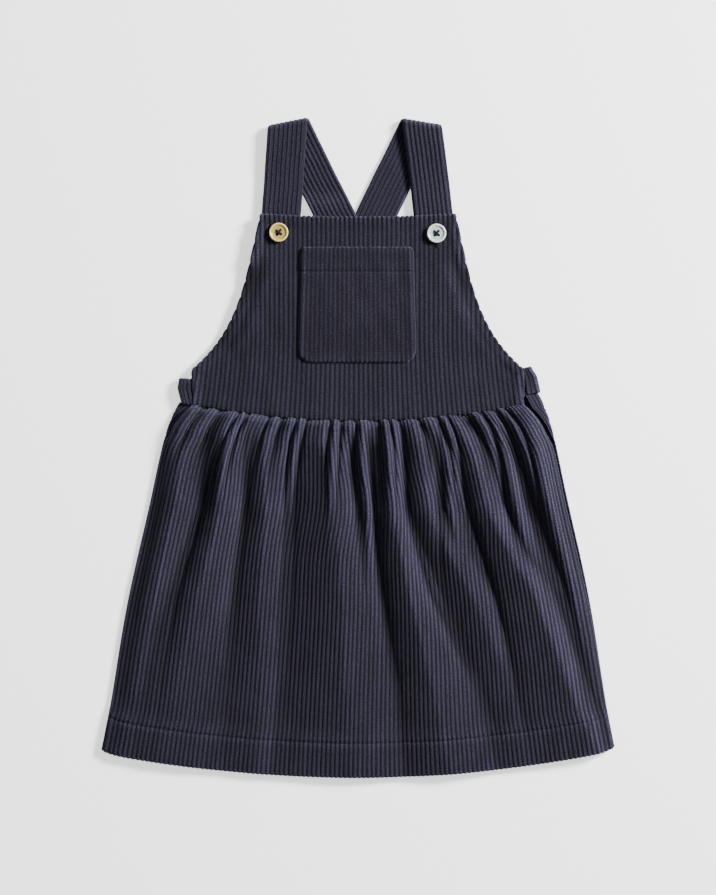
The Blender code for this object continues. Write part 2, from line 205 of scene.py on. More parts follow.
def pile_material():
    """Navy pile ribs whose grooves are darkened with painted shade, with a painted highlight line
    beside each crest and painted light and shade from the cloth's painted_shading attribute.
    U of the cloth's own map is metres across the ribs and V is metres along them."""
    material, shader, base = new_material("corduroy", 0.95)
    across, along = flat_place(base, "ShaderNodeUVMap", {"uv_map": "cloth"})
    wander = base.noise(across * 300.0, along * 90.0)
    ribs = across * (1.0 / (WALE * MM))
    offset = base.math("FRACT", ribs + 0.12 * (wander - 0.5)) * 2.0 - 1.0
    crest = 1.0 - (offset * offset) ** CREST_POWER
    # a painted highlight: a thin pale line just beside the crest of each rib
    aside = offset * RIB_HIGHLIGHT_WIDTH - RIB_HIGHLIGHT_ASIDE
    rib_highlight = (1.0 - aside * aside).clamp()
    pile = base.noise(across * 1700.0 + along * 900.0, along * 1300.0 - across * 500.0,
                      detail=3.0, roughness=0.7)
    tufts = base.noise(across * 700.0, along * 1000.0)
    nap_and_painted_light = base.noise(across * 60.0, along * 16.0, detail=3.0, roughness=0.6)
    uneven = base.noise(base.math("FLOOR", ribs) * 7.31, along * 9.0)
    # painted light and shade: lighter on ridges, turned edges and slopes toward the key light,
    # darker in creases and on slopes away from it
    painted_shading = base.node("ShaderNodeAttribute", {"attribute_name": "painted_shading"}, output=2)
    share = (crest * (0.22 + 2.0 * (tufts - 0.5)) + rib_highlight * (0.68 + 2.2 * (tufts - 0.5))
             + 3.4 * (pile - 0.5) + 0.6 * (nap_and_painted_light - 0.5) + 0.9 * crest * (uneven - 0.5))
    painted_light = base.math("MAXIMUM", painted_shading, 0.0)
    share = share.clamp() * (1.0 + PAINTED_SHADE_GAIN * painted_shading + PAINTED_RIDGE_HIGHLIGHT * painted_light) + PAINTED_HIGHLIGHT_PALING * painted_light
    feed(shader, "Base Color", share.blend(SHADED_GROOVE_COLOUR, CREST_COLOUR))
    bump = base.node("ShaderNodeBump", Strength=0.85, Distance=0.0006, Height=0.8 * pile + tufts)
    feed(shader, "Normal", bump)
    shader.inputs["Specular IOR Level"].default_value = 0.15
    shader.inputs["Sheen Weight"].default_value = 0.22
    shader.inputs["Sheen Roughness"].default_value = 0.4
    shader.inputs["Sheen Tint"].default_value = (0.50, 0.55, 0.85, 1.0)
    return material


def ground_material():
    """The plain woven reverse of the corduroy: fine diagonal threads, no pile."""
    material, shader, base = new_material("corduroy_reverse", 0.9)
    across, along = flat_place(base, "ShaderNodeUVMap", {"uv_map": "cloth"})
    twill = base.math("SINE", across * TWILL + along * TWILL) * 0.5 + 0.5
    slub = base.noise(across * 500.0, along * 500.0)
    share = (0.55 * twill + 0.45 * slub).clamp()
    feed(shader, "Base Color", share.blend((0.008, 0.0075, 0.013, 1.0), GROUND_COLOUR))
    bump = base.node("ShaderNodeBump", Strength=0.3, Distance=0.0002, Height=twill)
    feed(shader, "Normal", bump)
    shader.inputs["Specular IOR Level"].default_value = 0.2
    return material


corduroy = pile_material()
corduroy_reverse = ground_material()


def ease(low, high, value):
    """A smooth step from 0 at low to 1 at high."""
    share = np.clip((value - low) / (high - low), 0.0, 1.0)
    return share * share * (3.0 - 2.0 * share)


def drift(across, height, size, start):
    """A gentle unevenness, about -1 to 1, whose swells are of the given size."""
    x, y = across / size, height / size
    return (0.45 * np.sin(2.3 * x + 1.1 * y + start) + 0.3 * np.sin(4.1 * y - 1.9 * x + 2.7 * start)
            + 0.25 * np.sin(5.3 * x + 3.1 * y + 1.7 * start))


def rib_profile(across):
    """Height of the ribs, 0 in a groove and 1 on a crest, at a distance across the cloth."""
    offset = 2.0 * (across / WALE - np.floor(across / WALE + 1e-6)) - 1.0
    return np.sqrt(np.clip(1.0 - offset ** 2, 0.0, 1.0))


def cloth_normals(middle, tube):
    """Unit normals of a grid of points; a tube's columns close on themselves."""
    if tube:
        padded = np.concatenate((middle[:, -2:-1], middle, middle[:, 1:2]), axis=1)
        across = np.gradient(padded, axis=1)[:, 1:-1]
    else:
        across = np.gradient(middle, axis=1)
    normal = np.cross(across, np.gradient(middle, axis=0))
    return normal / np.maximum(np.linalg.norm(normal, axis=2, keepdims=True), 1e-9)


PAINTED_SLOPE_LIGHT = 0.85        # how strongly painted light and shade show on slopes that face toward or away from the key light
PAINTED_LIGHT_WAY = (0.9, 0.4)   # the way toward the key light, across the floor
PAINTED_BEND_SHADING = (               # painted shade in creases, painted highlight on ridges: mesh columns to either side, and the bend in mm that counts as full
    dict(reach=4, full=1.8),
    dict(reach=11, full=7.0),
)
MOST_PAINTED_HIGHLIGHT = 0.6      # most painted highlight, then most painted shade, that one bend gives
MOST_PAINTED_SHADE = 0.8


def paint_light_and_shade(middle, normal, tube):
    """Painted light and shade: about 1 as a painted highlight on a ridge, a turned edge or a slope
    toward the key light, about -1 as painted shade in a crease or on a slope away from it."""
    painted_level = PAINTED_SLOPE_LIGHT * (normal[..., 0] * PAINTED_LIGHT_WAY[0] + normal[..., 1] * PAINTED_LIGHT_WAY[1])
    for size in PAINTED_BEND_SHADING:
        reach = size["reach"]
        wide = np.pad(middle, ((0, 0), (reach, reach), (0, 0)), mode="edge")
        bend = wide[:, 2 * reach:] + wide[:, :-2 * reach] - 2.0 * middle
        bend[:, :reach] = bend[:, -reach:] = 0.0
        hollow = (bend * normal).sum(axis=2) / size["full"]
        painted_level = painted_level - np.clip(hollow, -MOST_PAINTED_HIGHLIGHT, MOST_PAINTED_SHADE)
    way = np.diff(middle, axis=0)
    way /= np.maximum(np.linalg.norm(way, axis=2, keepdims=True), 1e-9)
    turned = np.zeros_like(middle)
    turned[1:-1] = np.diff(way, axis=0)
    painted_level = painted_level - (turned * normal).sum(axis=2)
    # painted highlight along the turned edges of a flat panel
    if not tube:
        painted_level[:, :3] = painted_level[:, -3:] = 1.0
    return painted_level


def cloth_grid(across, along, tube):
    """A flat grid of numbered corners with the cloth's map on its faces, which is joined
    into a tube where its first and last columns are one."""
    rows, columns = across.shape
    shape = bmesh.new()
    corner = shape.verts.layers.int.new("corner")
    cloth_map = shape.loops.layers.uv.new("cloth")
    bmesh.ops.create_grid(shape, x_segments=columns - 1, y_segments=rows - 1, size=0.5)
    for vertex in shape.verts:
        column = round((vertex.co.x + 0.5) * (columns - 1))
        row = round((vertex.co.y + 0.5) * (rows - 1))
        vertex[corner] = row * columns + column
    metres = (np.stack((across, along), axis=2) * MM).reshape(-1, 2).tolist()
    for face in shape.faces:
        for loop in face.loops:
            loop[cloth_map].uv = metres[loop.vert[corner]]
    if tube:
        first = {v[corner] // columns: v for v in shape.verts if v[corner] % columns == 0}
        last = [v for v in shape.verts if v[corner] % columns == columns - 1]
        bmesh.ops.weld_verts(shape, targetmap={v: first[v[corner] // columns] for v in last})
    return shape, corner


def mesh_piece(name, shape, *materials):
    """A smooth object of a shape."""
    mesh = bpy.data.meshes.new(name)
    shape.to_mesh(mesh)
    shape.free()
    for material in materials:
        mesh.materials.append(material)
    mesh.shade_smooth()
    piece = bpy.data.objects.new(name, mesh)
    bpy.context.scene.collection.objects.link(piece)
    return piece


def corduroy_piece(name, middle, across, along, side=1.0, rib=RIB, tube=False, painted_light=0.0):
    """A piece of corduroy with its ribs on one side and its plain woven ground on the other.

    middle is the middle of the ground, in mm, as rows by columns of points; side is 1 where
    the ribs face along (columns x rows), and -1 where they face the other way. painted_light
    lightens the whole piece with painted light above 0 and darkens it with painted shade below."""
    normal = cloth_normals(middle, tube) * side
    ribs = BACKING / 2.0 + rib * rib_profile(across)
    outer = ((middle + normal * ribs[..., None]) * MM).reshape(-1, 3).tolist()
    inner = ((middle - normal * BACKING / 2.0) * MM).reshape(-1, 3).tolist()
    # painted light and shade for each point, with the piece's own painted_light added
    nap_and_painted_light = np.clip(paint_light_and_shade(middle, normal, tube) + painted_light, -1.0, 1.2).ravel().tolist()
    shape, corner = cloth_grid(across, along, tube)
    painted_shading = shape.verts.layers.float.new("painted_shading")
    groove = np.broadcast_to(rib_profile(across) < 0.05, middle.shape[:2]).ravel().tolist()
    for edge in shape.edges:
        edge.smooth = not all(groove[vertex[corner]] for vertex in edge.verts)
    extruded = bmesh.ops.extrude_face_region(shape, geom=shape.faces[:])["geom"]
    for vertex in shape.verts:
        vertex.co = outer[vertex[corner]]
        vertex[painted_shading] = nap_and_painted_light[vertex[corner]]
    for element in extruded:
        if isinstance(element, bmesh.types.BMVert):
            element.co = inner[element[corner]]
        elif isinstance(element, bmesh.types.BMFace):
            element.material_index = 1
    bmesh.ops.recalc_face_normals(shape, faces=shape.faces)
    if shape.calc_volume(signed=True) < 0.0:
        bmesh.ops.reverse_faces(shape, faces=shape.faces)
    return mesh_piece(name, shape, corduroy, corduroy_reverse)


WAIST_LOW = 19.6        # height of the waist seam at the middle of the front
WAIST_RISE = 12.0
HEM_LOW = -247.3
HEM_RISE_RIGHT = 18.3   # climb of the hem on the -X side
HEM_RISE_LEFT = 20.5    # climb of the hem on the +X side
HEM_CORNER = 2.5        # how far its two corners are rounded up
SKIRT_HALF_TOP = 141.0
SKIRT_FLARE = 51.0
SIDE_BULGE = 2.2        # how far the sides bow out
BULGE_FROM = 0.24       # share of the length at which they start to, and for how much of it
BULGE_LENGTH = 0.7
SKIRT_LENGTH = WAIST_LOW - HEM_LOW
FRONT_PULL = 17.0       # how far the gathers draw the front in at the waist
BACK_PULL = 7.0
PULL_LENGTH = 0.06
SKIRT_WALES = 112       # ribs across one skirt panel
SKIRT_COLUMNS = SKIRT_WALES * WALE_STEPS + 1
FRONT_RIB = 0.62        # its ribs stand a little prouder than the pressed ones behind
SEAM_STEPS = 2          # each side seam lies this many steps past a groove, by a rib's crest
TUCKS = 22              # gathers along the front waist seam
TUCK_HEIGHT = 6.9
TUCK_ROUNDNESS = 0.95
TUCK_LENGTH = 0.14      # share of the length over which they die out
BACK_RIPPLE = 2.4       # height of the back panel's pressed gathers, under the front
BACK_FLAT_FROM = 0.5
UNDER_FRONT = 0.04      # share of the length by which the back's gathers start lower
SIDE_ROLL = 13.0        # width of cloth that comes down to the side seam
SIDE_BEND = 0.9         # radius in which a panel's side turns into the side seam
EDGE_BEND = 0.62        # radius of a turned edge, at the middle of the ground
EDGE_INSET = 1.45       # from the outline of a turned edge to the start of its bend
SIDE_INSET = 1.0
HEM_TURN = 25.0         # width of cloth that is turned up at the hem
HEM_NARROWER = 2.6      # how far the turned-up cloth ends short of the side seams
STITCH_DOWN = 0.907     # share of the skirt's length at the hem's stitching
STITCH_DENT = 0.9
STITCH_REACH = 1.3      # how far to either side the cloth dips at a seam or row of stitches
FRONT_LEVEL = 2.85      # middle of the front panel between its folds, over the flat back
SEAM_LIFT = 2.4         # how much higher the panel starts at the waist seam
SEAM_LIFT_REACH = 30.0
HEM_LIFT = 2.0          # the front hem lies on the turned hem of the back
HEM_LIFT_FROM = 0.86
HEM_LIFT_TO = 0.91
SEAM_DROP = 2.8         # how far the gathers turn down into the waist seam
SEAM_SCALLOP = 1.6      # how far they puff up over it
SCALLOP_REACH = 4.0

# Crest of each fold as a share of the half width, and its height, at the waist, at each
# quarter of the length and at the hem; its reach to either side at the waist and the hem.
FOLD_STATIONS = (0.0, 0.25, 0.5, 0.75, 1.0)
FOLDS = (
    dict(crest=(-0.93, -0.88, -0.89, -0.905, -0.90), height=(2, 7, 6.5, 4, 2),
         left=(0.11, 0.11), right=(0.13, 0.09)),
    dict(crest=(-0.72, -0.657, -0.705, -0.747, -0.76), height=(4, 10, 9, 5.5, 3),
         left=(0.07, 0.26), right=(0.10, 0.24)),
    dict(crest=(-0.52, -0.445, -0.435, -0.40, -0.40), height=(4, 7, 4.5, 2.5, 1.5),
         left=(0.11, 0.14), right=(0.11, 0.12)),
    dict(crest=(-0.18, -0.105, -0.065, -0.052, -0.033), height=(4, 9, 9.5, 6.5, 3),
         left=(0.22, 0.28), right=(0.16, 0.24)),
    dict(crest=(0.0, 0.046, 0.06, 0.06, 0.06), height=(3, 7, 1, 0, 0),
         left=(0.05, 0.05), right=(0.045, 0.045)),
    dict(crest=(0.148, 0.173, 0.236, 0.312, 0.365), height=(4, 10, 10.5, 8, 4.5),
         left=(0.10, 0.19), right=(0.06, 0.22)),
    dict(crest=(0.33, 0.34, 0.511, 0.625, 0.66), height=(4, 8, 6.5, 3.5, 1.5),
         left=(0.11, 0.16), right=(0.10, 0.16)),
    dict(crest=(0.493, 0.447, 0.50, 0.55, 0.60), height=(3, 6.5, 1, 0, 0),
         left=(0.05, 0.05), right=(0.08, 0.08)),
    dict(crest=(0.584, 0.623, 0.768, 0.851, 0.93), height=(4, 10, 11, 9, 4.5),
         left=(0.09, 0.38), right=(0.10, 0.08)),
    dict(crest=(0.76, 0.76, 0.80, 0.84, 0.88), height=(3, 7.5, 2, 0, 0),
         left=(0.05, 0.05), right=(0.07, 0.07)),
    dict(crest=(0.886, 0.911, 0.966, 0.99, 1.0), height=(2, 8, 6, 3, 1),
         left=(0.08, 0.05), right=(0.12, 0.06)),
)
# Sharp creases between the folds, given the same way, with their depth.
CREASES = (
    dict(line=(-0.738, -0.74, -0.79, -0.81, -0.81), depth=(1, 3.4, 2.4, 0.5, 0)),
    dict(line=(-0.56, -0.56, -0.55, -0.545, -0.54), depth=(1, 3.4, 2.2, 0.6, 0)),
    dict(line=(-0.325, -0.327, -0.315, -0.319, -0.33), depth=(1, 4.6, 4.4, 3.0, 0.5)),
    dict(line=(-0.06, -0.011, 0.04, 0.05, 0.05), depth=(2, 2.6, 0.4, 0, 0)),
    dict(line=(0.045, 0.078, 0.111, 0.166, 0.18), depth=(2, 3.2, 2.8, 1.6, 0)),
    dict(line=(0.245, 0.23, 0.324, 0.50, 0.60), depth=(2, 3.8, 3.4, 1.6, 0)),
    dict(line=(0.41, 0.39, 0.386, 0.386, 0.386), depth=(2, 2.2, 0, 0, 0)),
    dict(line=(0.48, 0.535, 0.604, 0.65, 0.68), depth=(2, 4.2, 3.2, 1.0, 0)),
    dict(line=(0.665, 0.716, 0.742, 0.742, 0.742), depth=(2, 2.6, 0, 0, 0)),
    dict(line=(0.77, 0.817, 0.894, 0.92, 0.93), depth=(2, 4.2, 2.6, 1.0, 0)),
)
CREASE_WIDTH = 2.9
CREASE_POWER = 1.3
FOLD_SCALE = 0.94
FOLD_SHARPNESS = 5.0    # larger makes the valleys between folds narrower
FOLD_ROUNDNESS = 1.15
FOLD_PEAK = 1.7         # larger makes the crests sharper and the slopes flatter
FOLD_PEAKED = 0.28      # share of that peak in a crest that is otherwise round
FOLD_FLOOR = 0.3        # rounds the flat cloth into the foot of a fold
FOLD_START = 0.07       # share of the length over which the folds come up


def waist_curve(share):
    return WAIST_LOW + WAIST_RISE * share ** 2


def hem_curve(share):
    rise = np.where(share > 0, HEM_RISE_LEFT, HEM_RISE_RIGHT)
    return HEM_LOW + EDGE_INSET + rise * share ** 2 + HEM_CORNER * np.abs(share) ** 40


def skirt_half(down, pull):
    """Half width of a skirt panel, down from 0 at the waist to 1 at the hem."""
    part = np.clip((down - BULGE_FROM) / BULGE_LENGTH, 0.0, 1.0)
    bulge = SIDE_BULGE * np.sin(math.pi * part) ** 2
    return SKIRT_HALF_TOP + SKIRT_FLARE * down + bulge - pull * np.exp(-down / PULL_LENGTH)


def tuck_wave(share, down, reach):
    """The row of gathers below a seam, 0 to 1: round tubes with narrow valleys between,
    uneven in width, each dying out over its own length."""
    turn = TUCKS * (share + 1.0) / 2.0
    turn = turn + 0.22 * np.sin(1.9 * turn) + 0.15 * np.sin(3.3 * turn + 1.0)
    wobble = 0.5 + 0.5 * np.sin(2.1 * turn + 1.3 * np.sin(0.7 * turn))
    length = reach * (0.7 + 0.6 * wobble)
    tube = np.abs(np.sin(math.pi * turn)) ** TUCK_ROUNDNESS * (0.7 + 0.3 * wobble)
    return tube * np.exp(-(down / length) ** 2)


def fold_height(share, down):
    """Height of the folds, cut by the creases, at a share of the half width."""
    total = np.zeros_like(share)
    for fold in FOLDS:
        crest = np.interp(down, FOLD_STATIONS, fold["crest"])
        height = np.interp(down, FOLD_STATIONS, fold["height"])
        left = fold["left"][0] + (fold["left"][1] - fold["left"][0]) * down
        right = fold["right"][0] + (fold["right"][1] - fold["right"][0]) * down
        reach = np.where(share < crest, left, right)
        away = np.clip((share - crest) / reach, -1.0, 1.0)
        round_top = np.cos(away * math.pi / 2.0) ** FOLD_ROUNDNESS
        peak = (1.0 - np.abs(away)) ** FOLD_PEAK
        crown = (1.0 - FOLD_PEAKED) * round_top + FOLD_PEAKED * peak
        total += (FOLD_SCALE * height * crown) ** FOLD_SHARPNESS
    folds = total ** (1.0 / FOLD_SHARPNESS)
    for crease in CREASES:
        away = np.abs(share - np.interp(down, FOLD_STATIONS, crease["line"])) * SKIRT_HALF_TOP
        depth = np.interp(down, FOLD_STATIONS, crease["depth"])
        folds = folds - depth * np.exp(-(away / CREASE_WIDTH) ** CREASE_POWER)
    return 0.5 * (folds + np.sqrt(folds ** 2 + FOLD_FLOOR))


def side_fade(across, down):
    """1 over most of a skirt panel, down to 0 at its side seams, where it lies flat."""
    edge = skirt_half(down, BACK_PULL)
    return 1.0 - ease(edge - SIDE_ROLL, edge, np.abs(across))


def back_envelope(across, down):
    """The most that the back panel's pressed gathers rise at a place."""
    return BACK_RIPPLE * (1.0 - ease(0.1, BACK_FLAT_FROM, down)) * side_fade(across, down)


def dip(distance, reach):
    """A soft dip or rise, 1 in its middle and dying out over its reach."""
    return math.exp(-(distance / reach) ** 2)


def hem_lift(down):
    return HEM_LIFT * ease(HEM_LIFT_FROM, HEM_LIFT_TO, down)


def front_level(across, down):
    """Height of the middle of the front panel's ground."""
    share = across / skirt_half(down, FRONT_PULL)
    below_seam = down * SKIRT_LENGTH
    fade = side_fade(across, down)
    folds = fold_height(share, down) * ease(0.0, FOLD_START, down)
    seam = 0.55 + 0.45 * ease(0.0, 0.016, down)
    gathers = TUCK_HEIGHT * seam * tuck_wave(share, down, TUCK_LENGTH)
    level = FRONT_LEVEL + np.maximum(back_envelope(across, down),
                                     back_envelope(across, down + UNDER_FRONT))
    level = level + SEAM_LIFT * (1.0 - fade) * dip(below_seam, SEAM_LIFT_REACH)
    level = level - SEAM_DROP * dip(below_seam, STITCH_REACH) + hem_lift(down)
    level = level - STITCH_DENT * dip((down - STITCH_DOWN) * SKIRT_LENGTH, STITCH_REACH)
    uneven = 0.35 * drift(across, below_seam, 21.0, 0.4)
    return level + (folds + gathers + uneven) * fade


THREAD_EASE = (-0.06, -0.04, -0.02, 0.0, 0.02, 0.04, 0.06)  # rows that share out the threads


def skirt_row(down, left, right, level, height, toward):
    """One row of evenly spaced threads. left and right each give how far the panel lies flat
    from its middle, the angle through which its side then turns, how far it runs on from
    there, and how far that rises; toward is 1 where the sides turn up and -1 for down."""
    total = [flat + SIDE_BEND * turn + run for flat, turn, run, lift in (left, right)]
    s = np.linspace(-total[0], total[1], 2401)
    flat, turn, run, lift = (np.where(s < 0.0, a, b) for a, b in zip(left, right))
    beyond = np.maximum(np.abs(s) - flat, 0.0)
    angle = np.minimum(beyond / SIDE_BEND, turn)
    on = np.maximum(beyond - SIDE_BEND * turn, 0.0)
    reach = np.minimum(np.abs(s), flat) + SIDE_BEND * np.sin(angle) + np.cos(turn) * on
    across = np.sign(s) * reach
    up = SIDE_BEND * (1.0 - np.cos(angle)) + np.sin(turn) * on
    rise = toward * up + lift * on / np.maximum(run, 1e-6)
    step = 0.0
    for offset in THREAD_EASE:
        beside = min(max(down + offset, 0.0), 1.0)
        step = step + np.hypot(np.diff(across), np.diff(level(across, beside) + rise))
    length = np.concatenate(([0.0], np.cumsum(step)))
    threads = np.linspace(0.0, length[-1], SKIRT_COLUMNS)
    z = np.interp(threads, length, level(across, down) + rise)
    across = np.interp(threads, length, across)
    return np.column_stack((across, height(across, down), z))


def skirt_panel(name, row_at, downs, pull, level, height, side, rib=RIB):
    """A skirt panel of rows down from its seam, with its hem turned up inside it: round the
    edge, then back up as a flat layer. side is -1 for the front, 1 for the back."""
    rows = [row_at(down) for down in downs]
    along = [down * SKIRT_LENGTH for down in downs]
    edge = rows[-1]
    for angle in np.linspace(0.0, math.pi, 6)[1:]:
        rows.append(edge + np.array((0.0, -EDGE_BEND * math.sin(angle),
                                     side * EDGE_BEND * (1.0 - math.cos(angle)))))
        along.append(SKIRT_LENGTH + EDGE_BEND * angle)
    for back in (4.0, 12.0, HEM_TURN - 1.0):
        down = 1.0 - back / SKIRT_LENGTH
        flat = (float(skirt_half(down, pull)) - SIDE_INSET - HEM_NARROWER, 0.0, 0.0, 0.0)
        rows.append(skirt_row(down, flat, flat, level, height, side)
                    + np.array((0.0, 0.0, side * 2.0 * EDGE_BEND)))
        along.append(SKIRT_LENGTH + EDGE_BEND * math.pi + back)
    across = (np.arange(SKIRT_COLUMNS) + SEAM_STEPS) * WALE / WALE_STEPS
    shape = (len(along), SKIRT_COLUMNS)
    return corduroy_piece(name, np.array(rows), np.broadcast_to(across, shape),
                          np.broadcast_to(np.array(along)[:, None], shape), side=side, rib=rib)


def skirt_edge_gap(height, side):
    """How far the front's side edge lies in from the back's at a height, near the waist."""
    share = 1.0 if side > 0 else -1.0
    top, hem = waist_curve(share), float(hem_curve(share))
    down = min(max((top - height) / (top - hem), 0.0), 1.0)
    gap = float(skirt_half(down, BACK_PULL) - skirt_half(down, FRONT_PULL))
    return gap * float(ease(0.6, 2.6, gap))


SEAM_SLACK = 0.12       # radians of bend left open at the side seam


def front_height(across, down):
    share = across / skirt_half(down, FRONT_PULL)
    scallop = SEAM_SCALLOP * (tuck_wave(share, 0.0, TUCK_LENGTH) - 0.6)
    scallop = scallop * dip(down * SKIRT_LENGTH, SCALLOP_REACH)
    return (1.0 - down) * (waist_curve(share) - 0.2) + down * hem_curve(share) + scallop


def front_row(down):
    sides = []
    for side in (-1.0, 1.0):
        outer = float(skirt_half(down, BACK_PULL))
        height = float(front_height(side * float(skirt_half(down, FRONT_PULL)), down))
        half = outer - skirt_edge_gap(height, side) - SIDE_INSET
        turn = math.pi / 2.0 - SEAM_SLACK
        raised = SEAM_LIFT * dip(down * SKIRT_LENGTH, SEAM_LIFT_REACH)
        drop = max(float(hem_lift(down)) + raised - 0.9, 0.0)
        sides.append((half - SIDE_BEND * math.sin(turn), turn, drop, 0.0))
    return skirt_row(down, *sides, front_level, front_height, -1.0)


# Rows lie closer together at the waist seam and at the hem's stitches.
stitch_rows = [STITCH_DOWN + offset / SKIRT_LENGTH
               for offset in (-4.0, -2.4, -1.3, -0.6, 0.0, 0.6, 1.3, 2.4, 4.5)]
front_downs = [0.0, 0.0022, 0.005, 0.009, 0.014, *np.linspace(0.02, 0.2, 22)[:-1],
               *np.linspace(0.2, stitch_rows[0], 28)[:-1], *stitch_rows,
               *np.linspace(stitch_rows[-1], 1.0, 6)[1:]]
front_skirt = skirt_panel("front_skirt_cloth", front_row, front_downs, FRONT_PULL, front_level,
                          front_height, side=-1.0, rib=FRONT_RIB)
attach(front_skirt, "root")
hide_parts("front_skirt")


# ------------------------------------------------------------------ back skirt
# The same cut as the front panel. It lies face down on the floor, a little rippled where
# the elastic band gathers it, and its sides wrap up to the front's side edges.

BACK_LEVEL = 1.1        # middle of the back's ground, ribs on the floor
BAND_HALF = 134.8
BAND_HEIGHT = 20.0
BAND_MIDDLE = 46.8      # height of the waistband's centre line at its two ends
BAND_TILT = 4.3         # its +X end lies this much higher, its -X end this much lower
BAND_SAG = 9.0
SEAM_GAP = 0.3
SEAM_TUCK = 1.4         # how far the panel's top goes up into the waistband


def band_line(across):
    """Height of the back waistband's centre line."""
    share = across / BAND_HALF
    return BAND_MIDDLE + BAND_TILT * share - BAND_SAG * (1.0 - share ** 2)


def back_level(across, down):
    share = across / skirt_half(down, BACK_PULL)
    broad = 0.035 * fold_height(-share, down) * ease(0.0, FOLD_START, down)
    ripple = np.minimum(1.0, broad + tuck_wave(share, down, 0.12))
    return BACK_LEVEL + back_envelope(across, down) * ripple


def back_height(across, down):
    share = across / skirt_half(down, BACK_PULL)
    top = band_line(across) - BAND_HEIGHT / 2.0 + SEAM_TUCK
    return (1.0 - down) * top + down * hem_curve(share)


def back_row(down):
    half = float(skirt_half(down, BACK_PULL)) - SIDE_INSET
    sides = []
    for side in (-1.0, 1.0):
        height = float(back_height(side * half, down))
        gap = skirt_edge_gap(height, side)
        lift = 0.6 * dip(max(waist_curve(1.0) - height, 0.0), 10.0)
        run = max(gap - SIDE_BEND - 1.0, 0.0)
        upright = math.pi / 2.0 - SEAM_SLACK
        turn = upright + (math.pi / 2.0 + SEAM_SLACK) * float(ease(0.0, 2.0, gap))
        sides.append((half - SIDE_BEND, turn, run, lift if run > 0.0 else 0.0))
    return skirt_row(down, *sides, back_level, back_height, 1.0)


back_downs = [*np.linspace(0.0, 0.22, 20)[:-1], *np.linspace(0.22, 1.0, 26)]
back_skirt = skirt_panel("back_skirt_cloth", back_row, back_downs, BACK_PULL, back_level,
                         back_height, side=1.0)
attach(back_skirt, "root")
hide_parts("back_skirt")


# ------------------------------------------------------------------ bib
# One flat panel of the same corduroy with its ribs upright, spreading a little towards the
# waist seam. Its top and scooped armhole edges are turned in, so the ribs roll over them.

BIB_TOP = 172.3         # height of the top edge at its middle
BIB_TOP_RISE = 2.4
BIB_HALF_TOP = 73.0
ARMHOLE_FLARE = 25.0
ARMHOLE_SCOOP = 26.5
ARMHOLE_POWER = 4.2
ARMHOLE_END = 58.0      # height where the armhole meets the short side seam
BIB_SIDE = BIB_HALF_TOP + ARMHOLE_FLARE + ARMHOLE_SCOOP
BIB_LOW_LEVEL = 4.6
BIB_HIGH_LEVEL = 6.9
BIB_EDGE_DROP = 3.2
SEAM_DIP = 1.4          # the cloth turns down into the waist seam
BIB_GROUND = 0.93       # from the underside of the bib to the middle of its ground
BIB_SPREAD = 0.065      # how much wider its ribs are at the waist seam
BIB_SPREAD_FROM = 85.0
TURNING = 5.4           # width of cloth that is turned in at an edge
EDGE_RIB = 1.0          # height of the ribs where they roll over a turned edge
INNER_RIB = 0.3         # and where they are pressed flat inside it
BIB_RIB = 0.5           # the bib's own, a little flatter than the skirt's
BIB_PAINTED_SHADE = -0.08         # painted shade: how much darker the bib is drawn than the skirt
EDGE_THICKNESS = 0.9    # how much a turned edge lifts the cloth beside it


def bib_half(height):
    """Half width of the bib: straight sides at the waist, then the scooped armholes."""
    climb = np.clip((BIB_TOP + BIB_TOP_RISE - height)
                    / (BIB_TOP + BIB_TOP_RISE - ARMHOLE_END), 0.0, 1.0)
    return BIB_HALF_TOP + ARMHOLE_FLARE * climb + ARMHOLE_SCOOP * climb ** ARMHOLE_POWER


def bib_under(across, height):
    level = BIB_LOW_LEVEL + (BIB_HIGH_LEVEL - BIB_LOW_LEVEL) * ease(66.0, 104.0, height)
    from_edge = bib_half(height) - np.abs(across)
    free = ease(60.0, 82.0, height) * (1.0 - ease(124.0, 146.0, height))
    return level - BIB_EDGE_DROP * free * (1.0 - ease(0.0, 18.0, from_edge))


def bib_spread(height):
    """Factor by which the bib's ribs have spread at a height."""
    drop = np.maximum(BIB_SPREAD_FROM - height, 0.0) / (BIB_SPREAD_FROM - WAIST_LOW)
    return 1.0 + BIB_SPREAD * drop ** 1.6


def rounded(points, window, step=0.1):
    """A line through points, evenly stepped, whose corners are rounded over window mm."""
    points = np.array(points, dtype=float)
    length = np.concatenate(([0.0], np.cumsum(np.hypot(*np.diff(points, axis=0).T))))
    marks = np.arange(0.0, length[-1], step)
    line = np.column_stack([np.interp(marks, length, points[:, axis]) for axis in (0, 1)])
    count = int(window / step) | 1
    padded = np.pad(line, ((count // 2, count // 2), (0, 0)), mode="edge")
    kernel = np.ones(count) / count
    return np.column_stack([np.convolve(padded[:, axis], kernel, mode="valid") for axis in (0, 1)])


class Outline:
    """The folded edge of a panel, as a line that runs anticlockwise round it."""

    def __init__(self, line, inset):
        tangent = np.gradient(line, axis=0)
        tangent /= np.maximum(np.linalg.norm(tangent, axis=1, keepdims=True), 1e-9)
        self.out = np.column_stack((tangent[:, 1], -tangent[:, 0]))
        self.line = line - self.out * inset
        self.tree = kdtree.KDTree(len(line))
        for index, (x, y) in enumerate(self.line):
            self.tree.insert((x, y, 0.0), index)
        self.tree.balance()

    def distance(self, points):
        """How far points, shape (..., 2), lie outside the fold, and the nearest marks on it."""
        flat = points.reshape(-1, 2)
        nearest = np.array([self.tree.find((x, y, 0.0))[1] for x, y in flat.tolist()])
        past = ((flat - self.line[nearest]) * self.out[nearest]).sum(axis=1)
        return past.reshape(points.shape[:-1]), nearest.reshape(points.shape[:-1])


